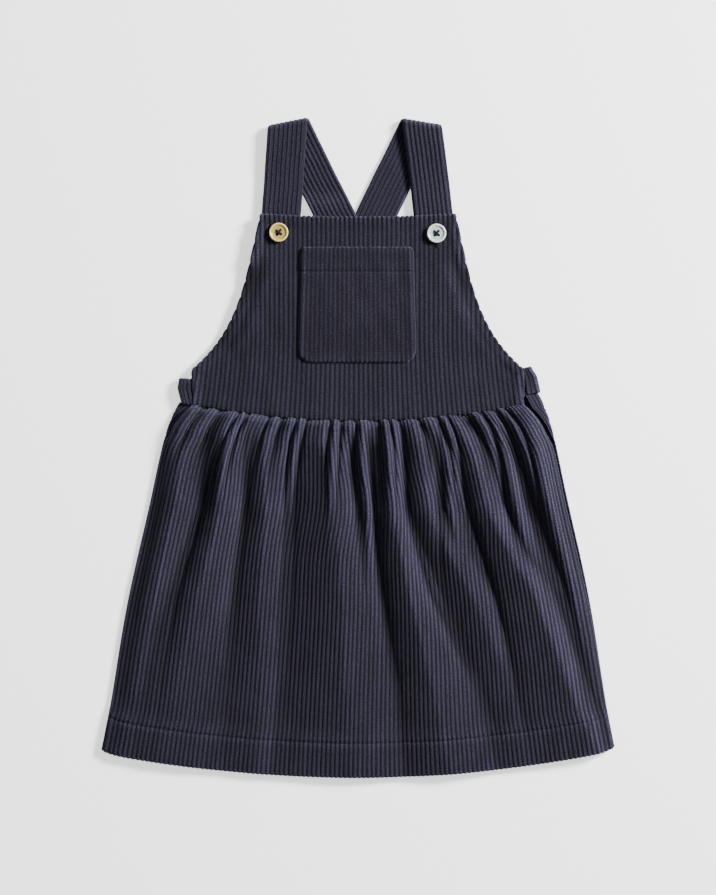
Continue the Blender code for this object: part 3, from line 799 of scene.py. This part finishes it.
def rows_beyond(outline, x, start, way):
    """Heights of a column's points that lie TURNING or less beyond the fold."""
    marks = start + way * np.linspace(0.0, 32.0, 161)
    past, _ = outline.distance(np.column_stack((np.full_like(marks, x), marks)))
    past = np.maximum.accumulate(past)
    first = max(past[0], 0.0)
    wanted = first + (TURNING - first) * np.array((0.07, 0.14, 0.21, 0.28, 0.36, 0.6, 1.0))
    return np.interp(wanted, past + np.arange(len(past)) * 1e-6, marks)


def turned_panel(outline, columns, low, high, shares, turn_low):
    """The flat places, depths and turned places of a panel whose edges are turned in.

    columns are the threads' distances across; low and high give where each column meets the
    outline, and shares how its rows are spread between."""
    heights = []
    for x in columns:
        bottom, top = low(x), high(x)
        column = bottom + (top - bottom) * shares
        if turn_low:
            column = np.concatenate((rows_beyond(outline, x, bottom, -1.0)[::-1], column))
        heights.append(np.concatenate((column, rows_beyond(outline, x, top, 1.0))))
    heights = np.array(heights).T
    flat = np.stack((np.tile(columns, (len(heights), 1)), heights), axis=2)
    past, nearest = outline.distance(flat)
    around = np.clip(past, 0.0, math.pi * EDGE_BEND) / EDGE_BEND
    inside = np.maximum(past - math.pi * EDGE_BEND, 0.0)
    shift = EDGE_BEND * np.sin(around) - inside
    moved = outline.line[nearest] + outline.out[nearest] * shift[..., None]
    place = np.where((past > 0.0)[..., None], moved, flat)
    return flat, np.maximum(-past, 0.0), place, EDGE_BEND * (1.0 - np.cos(around))


def turned_ribs(drop, rib):
    """Height of the ribs on a panel, over its turned edges and inside them."""
    return np.where(drop > 1.5 * EDGE_BEND, INNER_RIB, np.where(drop > 0.0, EDGE_RIB, rib))


bib_corner = BIB_TOP + BIB_TOP_RISE
heights = np.concatenate((np.linspace(10.0, ARMHOLE_END, 40)[:-1],
                          np.linspace(ARMHOLE_END, bib_corner, 160)))
side_line = np.column_stack((bib_half(heights) / bib_spread(heights), heights))
top_share = np.linspace(1.0, -1.0, 60)[1:-1]
top_line = np.column_stack((BIB_HALF_TOP * top_share, BIB_TOP + BIB_TOP_RISE * top_share ** 2))
bib_line = rounded(np.concatenate((side_line, top_line, side_line[::-1] * (-1.0, 1.0))), 3.0)
bib_outline = Outline(bib_line, EDGE_INSET)
half_line = bib_outline.line[:len(bib_outline.line) // 2]
highest = half_line[half_line[:, 1] > ARMHOLE_END - 2.0]
bib_reach = float(highest[:, 0].max())


def bib_high(x):
    x = min(abs(x), bib_reach)
    return float(np.interp(x, highest[::-1, 0], highest[::-1, 1]))


def bib_low(x):
    share = min(abs(x) * 1.045 / BIB_SIDE, 1.0)
    return float(waist_curve(share)) + 0.3


def bib_level(across, height, from_edge):
    """Height of the middle of the bib's ground."""
    level = bib_under(across, height) + BIB_GROUND
    level = level + EDGE_THICKNESS * (1.0 - ease(2.5, 8.0, from_edge))
    above_seam = height - waist_curve(np.clip(across / BIB_SIDE, -1.0, 1.0))
    level = level - SEAM_DIP * np.exp(-(above_seam / 1.1) ** 2)
    level = level + 0.35 * np.exp(-((above_seam - 5.0) / 5.0) ** 2)
    return level + 0.22 * drift(across, height, 17.0, 1.3)


count = int((bib_reach + TURNING) / (WALE / WALE_STEPS))
bib_columns = np.arange(-count, count + 1) * WALE / WALE_STEPS
bib_shares = np.concatenate(((0.0, 0.004, 0.009, 0.016, 0.026), np.linspace(0.04, 1.0, 52)))
flat, depth, place, drop = turned_panel(bib_outline, bib_columns, bib_low, bib_high,
                                        bib_shares, False)
place[..., 0] *= bib_spread(place[..., 1])
level = bib_level(place[..., 0], place[..., 1], depth) - drop
bib = corduroy_piece("front_bib_cloth", np.concatenate((place, level[..., None]), axis=2),
                     flat[..., 0] + 40.0 * WALE, flat[..., 1],
                     rib=turned_ribs(drop, BIB_RIB), painted_light=BIB_PAINTED_SHADE)
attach(bib, "root")
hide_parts("front_bib")


# ------------------------------------------------------------------ pocket
# A square patch pocket with rounded lower corners. Its top is folded over into a band held
# by one row of stitches, and its other edges are turned under and sewn down to the bib.

POCKET_MIDDLE = -0.7
POCKET_HALF_TOP = 41.9
POCKET_HALF_BOTTOM = 44.4
POCKET_TOP = 149.6
POCKET_BOTTOM = 63.8
POCKET_CORNER = 10.0
POCKET_WALE = 3.35      # its ribs lie a little closer than the bib's
POCKET_LIFT = 1.25      # its ground over the bib's ground
POCKET_EDGE_LIFT = 0.45     # what its turned edges add to that
POCKET_BELLY = 0.6      # and what its loose middle does
POCKET_PAINTED_SHADE = -0.38      # painted shade: it is drawn darker than the bib
POCKET_STITCHES = 131.7     # height of the stitches under the band
POCKET_STITCH_DENT = 0.75
BAND_FOLD = 0.55        # what the folded band adds
TOP_CORNER = 1.5        # how much is cut off its two upper corners

pocket_half = (POCKET_HALF_TOP + POCKET_HALF_BOTTOM) / 2.0
quarter = np.linspace(0.0, math.pi / 2.0, 20)
corner_line = np.column_stack((pocket_half - POCKET_CORNER * (1.0 - np.sin(quarter)),
                               POCKET_BOTTOM + POCKET_CORNER * (1.0 - np.cos(quarter))))
right_line = np.concatenate(([(0.0, POCKET_BOTTOM)], corner_line,
                             [(pocket_half, POCKET_TOP - TOP_CORNER),
                              (pocket_half - TOP_CORNER, POCKET_TOP)]))
pocket_line = np.concatenate((right_line, right_line[::-1] * (-1.0, 1.0)))
pocket_outline = Outline(rounded(pocket_line, 2.0), EDGE_INSET)
pocket_reach = pocket_half - EDGE_INSET
pocket_bend = POCKET_CORNER - EDGE_INSET


def pocket_low(x):
    aside = min(max(abs(x) - (pocket_reach - pocket_bend), 0.0), pocket_bend - 0.05)
    return POCKET_BOTTOM + POCKET_CORNER - math.sqrt(pocket_bend ** 2 - aside ** 2)


def pocket_high(x):
    return POCKET_TOP - EDGE_INSET - max(abs(x) - (pocket_reach - TOP_CORNER), 0.0) * 0.6


def pocket_level(across, height, from_edge):
    level = bib_level(across, height, np.full_like(across, 20.0)) + POCKET_LIFT
    level = level + POCKET_EDGE_LIFT * (1.0 - ease(1.0, 6.0, from_edge))
    level = level + BAND_FOLD * ease(-1.5, 1.5, height - POCKET_STITCHES)
    level = level - POCKET_STITCH_DENT * np.exp(-((height - POCKET_STITCHES) / 0.9) ** 2)
    inside = np.clip((POCKET_TOP - height) / (POCKET_TOP - POCKET_BOTTOM), 0.0, 1.0)
    belly = POCKET_BELLY * np.sin(math.pi * inside) * ease(3.0, 22.0, from_edge)
    return level + belly + 0.3 * drift(across, height, 15.0, 2.6) * ease(2.0, 12.0, from_edge)


step = POCKET_WALE / WALE_STEPS
count = int((pocket_reach + TURNING) / step)
pocket_columns = np.arange(-count, count + 1) * step
marks = (POCKET_STITCHES - POCKET_BOTTOM) / (POCKET_TOP - POCKET_BOTTOM)
pocket_shares = np.sort(np.concatenate((np.linspace(0.0, marks - 0.03, 22),
                                        np.linspace(marks - 0.02, marks + 0.02, 7),
                                        np.linspace(marks + 0.035, 1.0, 6))))
flat, depth, place, drop = turned_panel(pocket_outline, pocket_columns, pocket_low, pocket_high,
                                        pocket_shares, True)
taper = (POCKET_HALF_BOTTOM - POCKET_HALF_TOP) / (POCKET_TOP - POCKET_BOTTOM) / pocket_half
middle_height = (POCKET_TOP + POCKET_BOTTOM) / 2.0
place[..., 0] = POCKET_MIDDLE + place[..., 0] * (1.0 - taper * (place[..., 1] - middle_height))
level = pocket_level(place[..., 0], place[..., 1], depth) - drop
pocket = corduroy_piece("bib_pocket_cloth", np.concatenate((place, level[..., None]), axis=2),
                        (flat[..., 0] + 15.5 * POCKET_WALE) * (WALE / POCKET_WALE), flat[..., 1],
                        rib=turned_ribs(drop, RIB), painted_light=POCKET_PAINTED_SHADE)
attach(pocket, "root")
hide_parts("bib_pocket")


# ------------------------------------------------------------------ back waistband
# A corduroy casing with elastic inside, sewn to the back skirt's top. Its ribs are upright
# and the elastic ruches it; both its ends come round to the bib's side edges.

BAND_LEVEL = 2.15       # middle of the casing's thickness where it lies on the floor
BAND_BEND = 1.9         # radius at which an end turns up, at the middle of the casing
BAND_FLAT = 131.3       # half width that lies flat
BAND_WALES = 97         # ribs round the drawn-up casing, and the ruches that they lie in
BAND_RUCHES = 31
BAND_RUCHE_HEIGHT = 0.65
BAND_LEAN = 0.24        # slant of its two ends
BAND_CORNER = 2.2       # how far their top corners are rounded off
CASING_HALF = 0.43      # half thickness of the empty casing, at the middle of the cloth

half_turn = math.pi * BAND_BEND
run_in = BAND_FLAT - (BIB_SIDE + SEAM_GAP)
path = np.linspace(-1.0, 1.0, BAND_WALES * WALE_STEPS + 1) * (BAND_FLAT + half_turn + run_in)
beyond = np.maximum(np.abs(path) - BAND_FLAT, 0.0)
angle = np.minimum(beyond, half_turn) / BAND_BEND
back_in = np.maximum(beyond - half_turn, 0.0)
side = np.sign(path)
centre_x = side * (np.minimum(np.abs(path), BAND_FLAT) + BAND_BEND * np.sin(angle) - back_in)
centre_z = BAND_LEVEL + BAND_BEND * (1.0 - np.cos(angle))
inwards_x, inwards_z = -side * np.sin(angle), np.cos(angle)

ruche = BAND_RUCHES * math.pi * path / path[-1] / 2.0
ruche = ruche + 0.5 * np.sin(0.31 * path) + 0.3 * np.sin(0.13 * path + 1.0)
puff = BAND_RUCHE_HEIGHT * np.abs(np.sin(ruche)) * (1.0 - 0.5 * (angle > 0.0))
end_height = BAND_HEIGHT / 2.0 - 1.0 - CASING_HALF
face = np.linspace(-end_height, end_height, 12)
bend = np.linspace(-math.pi / 2.0, math.pi / 2.0, 6)[1:-1]
loop_y = np.concatenate((-face, -end_height - CASING_HALF * np.cos(bend),
                         face, end_height + CASING_HALF * np.cos(bend), -face[:1]))
loop_t = np.concatenate((np.ones_like(face), -np.sin(bend), -np.ones_like(face), np.sin(bend),
                         [1.0]))
on_face = np.cos(loop_y / end_height * 1.2).clip(0.25, 1.0)
thick = loop_t * (CASING_HALF + puff[:, None] * on_face)
outward = (np.abs(centre_x) / BAND_FLAT)[:, None]
rounding = BAND_CORNER * ease(0.2, 1.0, loop_y / end_height) * ease(0.93, 1.0, outward)
aslant = -BAND_LEAN * ease(0.9, 1.0, outward) * loop_y - side[:, None] * rounding
uneven = 1.0 + 0.02 * np.sin(2.0 * ruche)[:, None]
middle = np.stack((centre_x[:, None] + aslant + inwards_x[:, None] * thick,
                   band_line(centre_x)[:, None] + loop_y * uneven,
                   centre_z[:, None] + inwards_z[:, None] * thick), axis=2)
strides = np.hypot(np.diff(loop_y), CASING_HALF * np.diff(loop_t))
around = np.concatenate(([0.0], np.cumsum(strides)))
shape = (len(path), len(loop_y))
casing = corduroy_piece("back_waistband_casing", middle,
                        np.broadcast_to((np.arange(len(path)) * WALE / WALE_STEPS)[:, None], shape),
                        np.broadcast_to(around, shape), side=1.0, tube=True)
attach(casing, "root")
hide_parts("back_waistband")


# ------------------------------------------------------------------ straps
# Each is a strip of corduroy sewn into a flat tube with its ribs along it. It is sewn to the
# waistband behind, crosses the other, folds over at the shoulder and buttons on to the bib.

STRAP_WIDTH = 29.7
STRAP_THICK = 3.0
STRAP_BEND = 2.6        # radius of the shoulder fold, at the middle of the strap
STRAP_FRONT = 97.0      # from the buttoned end to that fold
STRAP_REST = 4.95       # height of the middle of the front leg, on the bib
STRAP_WALES = 17        # ribs all round the tube
STRAP_STEPS = 6         # mesh columns to a rib
STRAP_RIB = 0.6
STRAP_PAINTED_LIGHT = 0.2         # painted light: the straps are drawn lighter than the bib
STRAP_HALF = 0.42       # half thickness of the tube, at the middle of the cloth
STRAPS = (
    dict(name="strap_left", side=1, crest=(48.9, 244.35), front_lean=7.0, back_lean=25.9,
         rise=0.0),
    dict(name="strap_right", side=-1, crest=(53.5, 244.35), front_lean=4.0, back_lean=26.3,
         rise=3.35),
)
CROSSING_TOP = 194.0    # the upper strap climbs between these two heights
CROSSING_BOTTOM = 84.0
CROSSING_SLOPE = 13.0


def strap_surface(strap, along, beside):
    """Points of a strap's middle: a flat strip that leans inwards from behind the bib and is
    wound half a turn round the shoulder fold."""
    lean = math.radians(strap["front_lean"])
    tilt = math.radians((strap["back_lean"] - strap["front_lean"]) / 2.0)
    run = np.array((-math.sin(lean), math.cos(lean)))
    width = np.array((math.cos(lean), math.sin(lean)))
    out = np.array((math.sin(tilt), math.cos(tilt)))
    fold = np.array(strap["crest"]) - (STRAP_BEND + STRAP_THICK / 2.0) * out
    flat = fold + run * (along - STRAP_FRONT)[..., None] + width * beside[..., None]
    past = (flat - fold) @ out
    half_turn = math.pi * STRAP_BEND
    low = STRAP_THICK / 2.0
    front = STRAP_REST + (low + 2.0 * STRAP_BEND - STRAP_REST) * (1.0 - ease(0.0, 45.0, -past))
    angle = np.clip(past / STRAP_BEND, 0.0, math.pi)
    bent = low + STRAP_BEND * (1.0 + np.cos(angle))
    shift = np.where(past < half_turn, STRAP_BEND * np.sin(angle) - past, half_turn - 2.0 * past)
    point = flat + out * np.where(past > 0.0, shift, 0.0)[..., None]
    climb = 1.0 - ease(CROSSING_TOP - CROSSING_SLOPE, CROSSING_TOP, point[..., 1])
    settle = ease(CROSSING_BOTTOM, CROSSING_BOTTOM + CROSSING_SLOPE, point[..., 1])
    level = np.where(past <= 0.0, front, np.where(past < half_turn, bent,
                                                  low + strap["rise"] * climb * settle))
    return np.stack((strap["side"] * point[..., 0], point[..., 1], level), axis=-1)


def strap_end(strap, beside):
    """Length along the strap at which its back leg comes to the waistband's top edge."""
    marks = np.linspace(STRAP_FRONT + 40.0, STRAP_FRONT + 260.0, 1200)
    points = strap_surface(strap, marks, np.full_like(marks, beside))
    above = points[:, 1] - band_line(points[:, 0]) - BAND_HEIGHT / 2.0 - SEAM_GAP
    return float(np.interp(0.0, -above, marks))


half_width = STRAP_WIDTH / 2.0 - BACKING / 2.0 - STRAP_RIB - STRAP_HALF
half_round = math.pi * STRAP_HALF
perimeter = 4.0 * half_width + 2.0 * half_round
marks = np.linspace(0.0, perimeter, STRAP_WALES * STRAP_STEPS + 1)
top = np.minimum(marks, 2.0 * half_width)
turn_a = np.clip(marks - 2.0 * half_width, 0.0, half_round) / STRAP_HALF
under = np.clip(marks - 2.0 * half_width - half_round, 0.0, 2.0 * half_width)
turn_b = np.clip(marks - 4.0 * half_width - half_round, 0.0, half_round) / STRAP_HALF
section_x = top - half_width - under + STRAP_HALF * (np.sin(turn_a) - np.sin(turn_b))
section_t = STRAP_HALF * np.cos(turn_a + turn_b)

bend_start, bend_end = STRAP_FRONT - 8.0, STRAP_FRONT + math.pi * STRAP_BEND + 8.0
start = np.concatenate((np.linspace(0.0, bend_start, 22)[:-1],
                        np.linspace(bend_start, bend_end, 34)))
share = np.linspace(0.0, 1.0, 52)[1:]
nudge = 0.05            # for the slopes along and across the strap

for strap in STRAPS:
    ends = np.array([strap_end(strap, x) for x in section_x])
    along = np.concatenate((np.tile(start[:, None], (1, len(marks))),
                            bend_end + share[:, None] * (ends - bend_end)))
    uneven = 0.22 * drift(along, np.zeros_like(along), 24.0, 0.7 + strap["side"])
    beside = section_x + uneven
    centre = strap_surface(strap, along, beside)
    along_way = (strap_surface(strap, along + nudge, beside)
                 - strap_surface(strap, along - nudge, beside))
    across_way = (strap_surface(strap, along, beside + nudge)
                  - strap_surface(strap, along, beside - nudge))
    facing = np.cross(across_way, along_way) * strap["side"]
    facing /= np.linalg.norm(facing, axis=2, keepdims=True)
    middle = centre + facing * (section_t * (1.0 + 0.25 * ease(6.0, 2.0, along)))[..., None]
    across = np.tile(np.arange(len(marks)) * WALE / STRAP_STEPS, (len(along), 1))
    piece = corduroy_piece(strap["name"] + "_cloth", middle, across, along,
                           side=float(strap["side"]), rib=STRAP_RIB, tube=True, painted_light=STRAP_PAINTED_LIGHT)
    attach(piece, "root")
    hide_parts(strap["name"])


# ------------------------------------------------------------------ buttons
# Two turned four-hole buttons, one of pale horn and one of river shell, each sewn through
# the bib with navy thread in a cross.

BUTTON_RADIUS = 7.15
BUTTON_THICK = 3.0
BUTTON_HOLE = 1.0       # radius of a hole, and how far apart their middles are
BUTTON_HOLE_PITCH = 3.1
BUTTON_SEAT = 9.1       # height of its underside
BUTTON_SECTION = (      # reach and rise as shares of radius and thickness, from the middle below
    (0.0, 0.0), (0.70, 0.0), (0.86, 0.10), (0.96, 0.26), (1.0, 0.46), (1.0, 0.66), (0.985, 0.82),
    (0.95, 0.94), (0.90, 1.0), (0.85, 0.985), (0.80, 0.91), (0.76, 0.80), (0.71, 0.72),
    (0.62, 0.685), (0.45, 0.67), (0.0, 0.665),
)
THREAD = 0.5            # radius of the doubled thread in a button
THREAD_APART = 0.4      # how far to either side of the middle its two strands lie
BUTTONS = (             # with the roughness, and the dark, light and rim colours, of each
    dict(name="button_left", slot="shell", across=58.6, height=159.9, turned=4.0, rough=0.22,
         low=(0.28, 0.33, 0.325, 1.0), high=(0.46, 0.52, 0.51, 1.0), rim=(0.68, 0.71, 0.68, 1.0)),
    dict(name="button_right", slot="horn", across=-59.2, height=160.6, turned=8.0, rough=0.3,
         low=(0.24, 0.145, 0.025, 1.0), high=(0.46, 0.32, 0.08, 1.0), rim=(0.66, 0.51, 0.19, 1.0)),
)


def button_material(button):
    """Turned horn or shell: faint rings from the lathe and clouded streaks in the layers."""
    material, shader, base = new_material("button_" + button["slot"], button["rough"])
    x, y = flat_place(base, "ShaderNodeTexCoord", output=3)
    x, y = x * 1000.0 - button["across"], y * 1000.0 - button["height"]
    reach = base.math("SQRT", x * x + y * y)
    wander = base.noise(x * 0.35, y * 0.35, detail=3.0)
    rings = base.math("SINE", reach * 4.2 + wander * 9.0) * 0.5 + 0.5
    cloud = base.noise(x * 0.22 + y * 0.1, y * 0.5 - x * 0.15, detail=4.0, roughness=0.6)
    fleck = base.noise(x * 2.5, y * 2.5, detail=2.0)
    rim = reach.step(5.3, 6.3)
    body = (0.45 * rings + 0.6 * cloud + 0.25 * (fleck - 0.5)).clamp()
    body = body.blend(button["low"], button["high"])
    mixed = base.node("ShaderNodeMix", {"data_type": "RGBA"}, output=2, I0=0.75 * rim, I6=body,
                      I7=button["rim"])
    feed(shader, "Base Color", mixed)
    bump = base.node("ShaderNodeBump", Strength=0.12, Distance=0.0002, Height=rings)
    feed(shader, "Normal", bump)
    shader.inputs["Coat Weight"].default_value = 0.25
    shader.inputs["Coat Roughness"].default_value = 0.15
    return material


def thread_material():
    """Navy sewing thread with the slant of its twist."""
    material, shader, base = new_material("sewing_thread", 0.85)
    shader.inputs["Specular IOR Level"].default_value = 0.2
    x, y = flat_place(base, "ShaderNodeTexCoord", output=3)
    twist = base.math("SINE", x * 11000.0 + y * 16000.0) * 0.5 + 0.5
    feed(shader, "Base Color", twist.blend((0.003, 0.003, 0.007, 1.0), (0.012, 0.013, 0.03, 1.0)))
    return material


sewing_thread = thread_material()


def strand(shape, points, radius, sides=8):
    """A round strand of thread through points, in mm, closed at both ends."""
    points = [Vector(point) for point in points]
    turn = (points[-1] - points[0]).to_track_quat("Z", "Y").to_matrix().to_4x4()
    place = Matrix.Translation(points[0] * MM) @ turn
    ring = bmesh.ops.create_circle(shape, segments=sides, radius=radius * MM, cap_ends=True,
                                   matrix=place)["verts"]
    end = ring[0].link_faces[0]
    for before, after in zip(points, points[1:]):
        extruded = bmesh.ops.extrude_face_region(shape, geom=[end])["geom"]
        moved = [e for e in extruded if isinstance(e, bmesh.types.BMVert)]
        bmesh.ops.translate(shape, verts=moved, vec=(after - before) * MM)
        end = next(e for e in extruded if isinstance(e, bmesh.types.BMFace))


def make_button(button):
    """A button turned to its section, with its four holes drilled."""
    turned = bmesh.new()
    ring = [turned.verts.new((reach * BUTTON_RADIUS, 0.0, rise * BUTTON_THICK))
            for reach, rise in BUTTON_SECTION]
    edges = [turned.edges.new(pair) for pair in zip(ring, ring[1:])]
    bmesh.ops.spin(turned, geom=ring + edges, axis=(0, 0, 1), cent=(0, 0, 0),
                   angle=2.0 * math.pi, steps=72, use_merge=True)
    bmesh.ops.remove_doubles(turned, verts=turned.verts, dist=1e-4)
    bmesh.ops.recalc_face_normals(turned, faces=turned.faces)
    drill = bmesh.new()
    for x, y in ((-0.5, -0.5), (-0.5, 0.5), (0.5, -0.5), (0.5, 0.5)):
        hole = bmesh.ops.create_cone(drill, segments=24, radius1=BUTTON_HOLE, radius2=BUTTON_HOLE,
                                     depth=4.0 * BUTTON_THICK, cap_ends=True)["verts"]
        bmesh.ops.translate(drill, verts=hole,
                            vec=(x * BUTTON_HOLE_PITCH, y * BUTTON_HOLE_PITCH, 0.0))
    place = (Matrix.Translation((button["across"] * MM, button["height"] * MM, BUTTON_SEAT * MM))
             @ Matrix.Rotation(math.radians(button["turned"]), 4, "Z") @ Matrix.Scale(MM, 4))
    solids = []
    for name, shape in (("blank", turned), ("drill", drill)):
        bmesh.ops.transform(shape, matrix=place, verts=shape.verts)
        mesh = bpy.data.meshes.new(name)
        shape.to_mesh(mesh)
        shape.free()
        solids.append(bpy.data.objects.new(name, mesh))
        bpy.context.scene.collection.objects.link(solids[-1])
    holes = solids[0].modifiers.new("holes", "BOOLEAN")
    holes.operation = "DIFFERENCE"
    holes.object = solids[1]
    drilled = bpy.data.meshes.new_from_object(
        solids[0].evaluated_get(bpy.context.evaluated_depsgraph_get()))
    for solid in solids:
        bpy.data.objects.remove(solid, do_unlink=True)
    drilled.materials.append(button_material(button))
    drilled.set_sharp_from_angle(angle=math.radians(40.0))
    piece = bpy.data.objects.new(button["name"] + "_turned", drilled)
    bpy.context.scene.collection.objects.link(piece)
    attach(piece, "root")
    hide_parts(button["name"])


def make_cross_stitch(button):
    """Two strands each way between opposite holes, and their legs down through them."""
    shape = bmesh.new()
    angle = math.radians(button["turned"])
    top = BUTTON_SEAT + 0.67 * BUTTON_THICK
    reach = BUTTON_HOLE_PITCH / math.sqrt(2.0)
    for order, start in enumerate((math.pi / 4.0, -math.pi / 4.0)):
        direction = angle + start
        way = Vector((math.cos(direction), math.sin(direction), 0.0))
        aside = Vector((-way.y, way.x, 0.0))
        middle = Vector((button["across"], button["height"], top + 0.1))
        for offset in (-THREAD_APART, THREAD_APART):
            centre = middle + aside * offset
            bow = Vector((0.0, 0.0, 0.3 + 0.45 * order))
            strand(shape, [centre + way * reach * s + bow * (1.0 - s ** 4)
                           for s in np.linspace(-1.0, 1.0, 9).tolist()], THREAD)
            for end in (-1.0, 1.0):
                leg = centre + way * reach * end
                strand(shape, (leg + Vector((0.0, 0.0, 0.1)), (leg.x, leg.y, BUTTON_SEAT - 0.6)),
                       THREAD)
    bmesh.ops.recalc_face_normals(shape, faces=shape.faces)
    piece = mesh_piece(button["name"] + "_thread", shape, sewing_thread)
    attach(piece, "root")


for button in BUTTONS:
    make_button(button)
    make_cross_stitch(button)


# ------------------------------------------------------------------ stitching
# Rows of lockstitch in navy thread: along the hem, under the pocket's band, and the satin
# stitches at the end of the buttonhole that shows below the shell button.

STITCH_PITCH = 3.0      # from one stitch to the next
STITCH_LENGTH = 2.1     # how much of that shows
STITCH_THREAD = 0.27
STITCH_SUNK = 0.35      # how far its ends go down into the pile
POCKET_ROW = (-40.5, 38.0)  # where the pocket's row starts, and what it stops short of
POCKET_SIDES = (-43.0, 42.0)
HOLE_MIDDLE = 58.9      # the buttonhole's satin stitches: middle, half width and heights
HOLE_HALF = 1.3
HOLE_HEIGHTS = (149.6, 152.6)
HOLE_PITCH = 0.5


def make_stitches(name, ends):
    """One piece of short strands, each bowed up a little between two points."""
    shape = bmesh.new()
    for start, finish in ends:
        start, finish = Vector(start), Vector(finish)
        sunk = Vector((0.0, 0.0, STITCH_SUNK))
        strand(shape, (start - sunk, start * 0.75 + finish * 0.25, start * 0.25 + finish * 0.75,
                       finish - sunk), STITCH_THREAD, sides=6)
    bmesh.ops.recalc_face_normals(shape, faces=shape.faces)
    piece = mesh_piece(name, shape, sewing_thread)
    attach(piece, "root")


def hem_point(x):
    x = np.array([x])
    return (float(x[0]), float(front_height(x, STITCH_DOWN)[0]),
            float(front_level(x, STITCH_DOWN)[0]) + BACKING / 2.0 + 0.5 * RIB)


def pocket_point(x):
    from_edge = min(x - POCKET_SIDES[0], POCKET_SIDES[1] - x)
    place = (np.array([x]), np.array([POCKET_STITCHES]), np.array([from_edge]))
    return x, POCKET_STITCHES, float(pocket_level(*place)[0]) + BACKING / 2.0 + 0.4 * RIB


def satin_point(x, height):
    level = bib_level(np.array([x]), np.array([height]), np.array([20.0]))
    return x, height, float(level[0]) + BACKING / 2.0 + 0.65


hem_reach = float(skirt_half(STITCH_DOWN, FRONT_PULL)) - SIDE_ROLL / 2.0
hem_marks = np.arange(-hem_reach, hem_reach, STITCH_PITCH).tolist()
make_stitches("hem_stitches", [(hem_point(x), hem_point(x + STITCH_LENGTH)) for x in hem_marks])
pocket_marks = np.arange(*POCKET_ROW, STITCH_PITCH).tolist()
make_stitches("pocket_stitches",
              [(pocket_point(x), pocket_point(x + STITCH_LENGTH)) for x in pocket_marks])
make_stitches("buttonhole_stitches",
              [(satin_point(HOLE_MIDDLE - HOLE_HALF, height),
                satin_point(HOLE_MIDDLE + HOLE_HALF, height))
               for height in np.arange(*HOLE_HEIGHTS, HOLE_PITCH).tolist()])
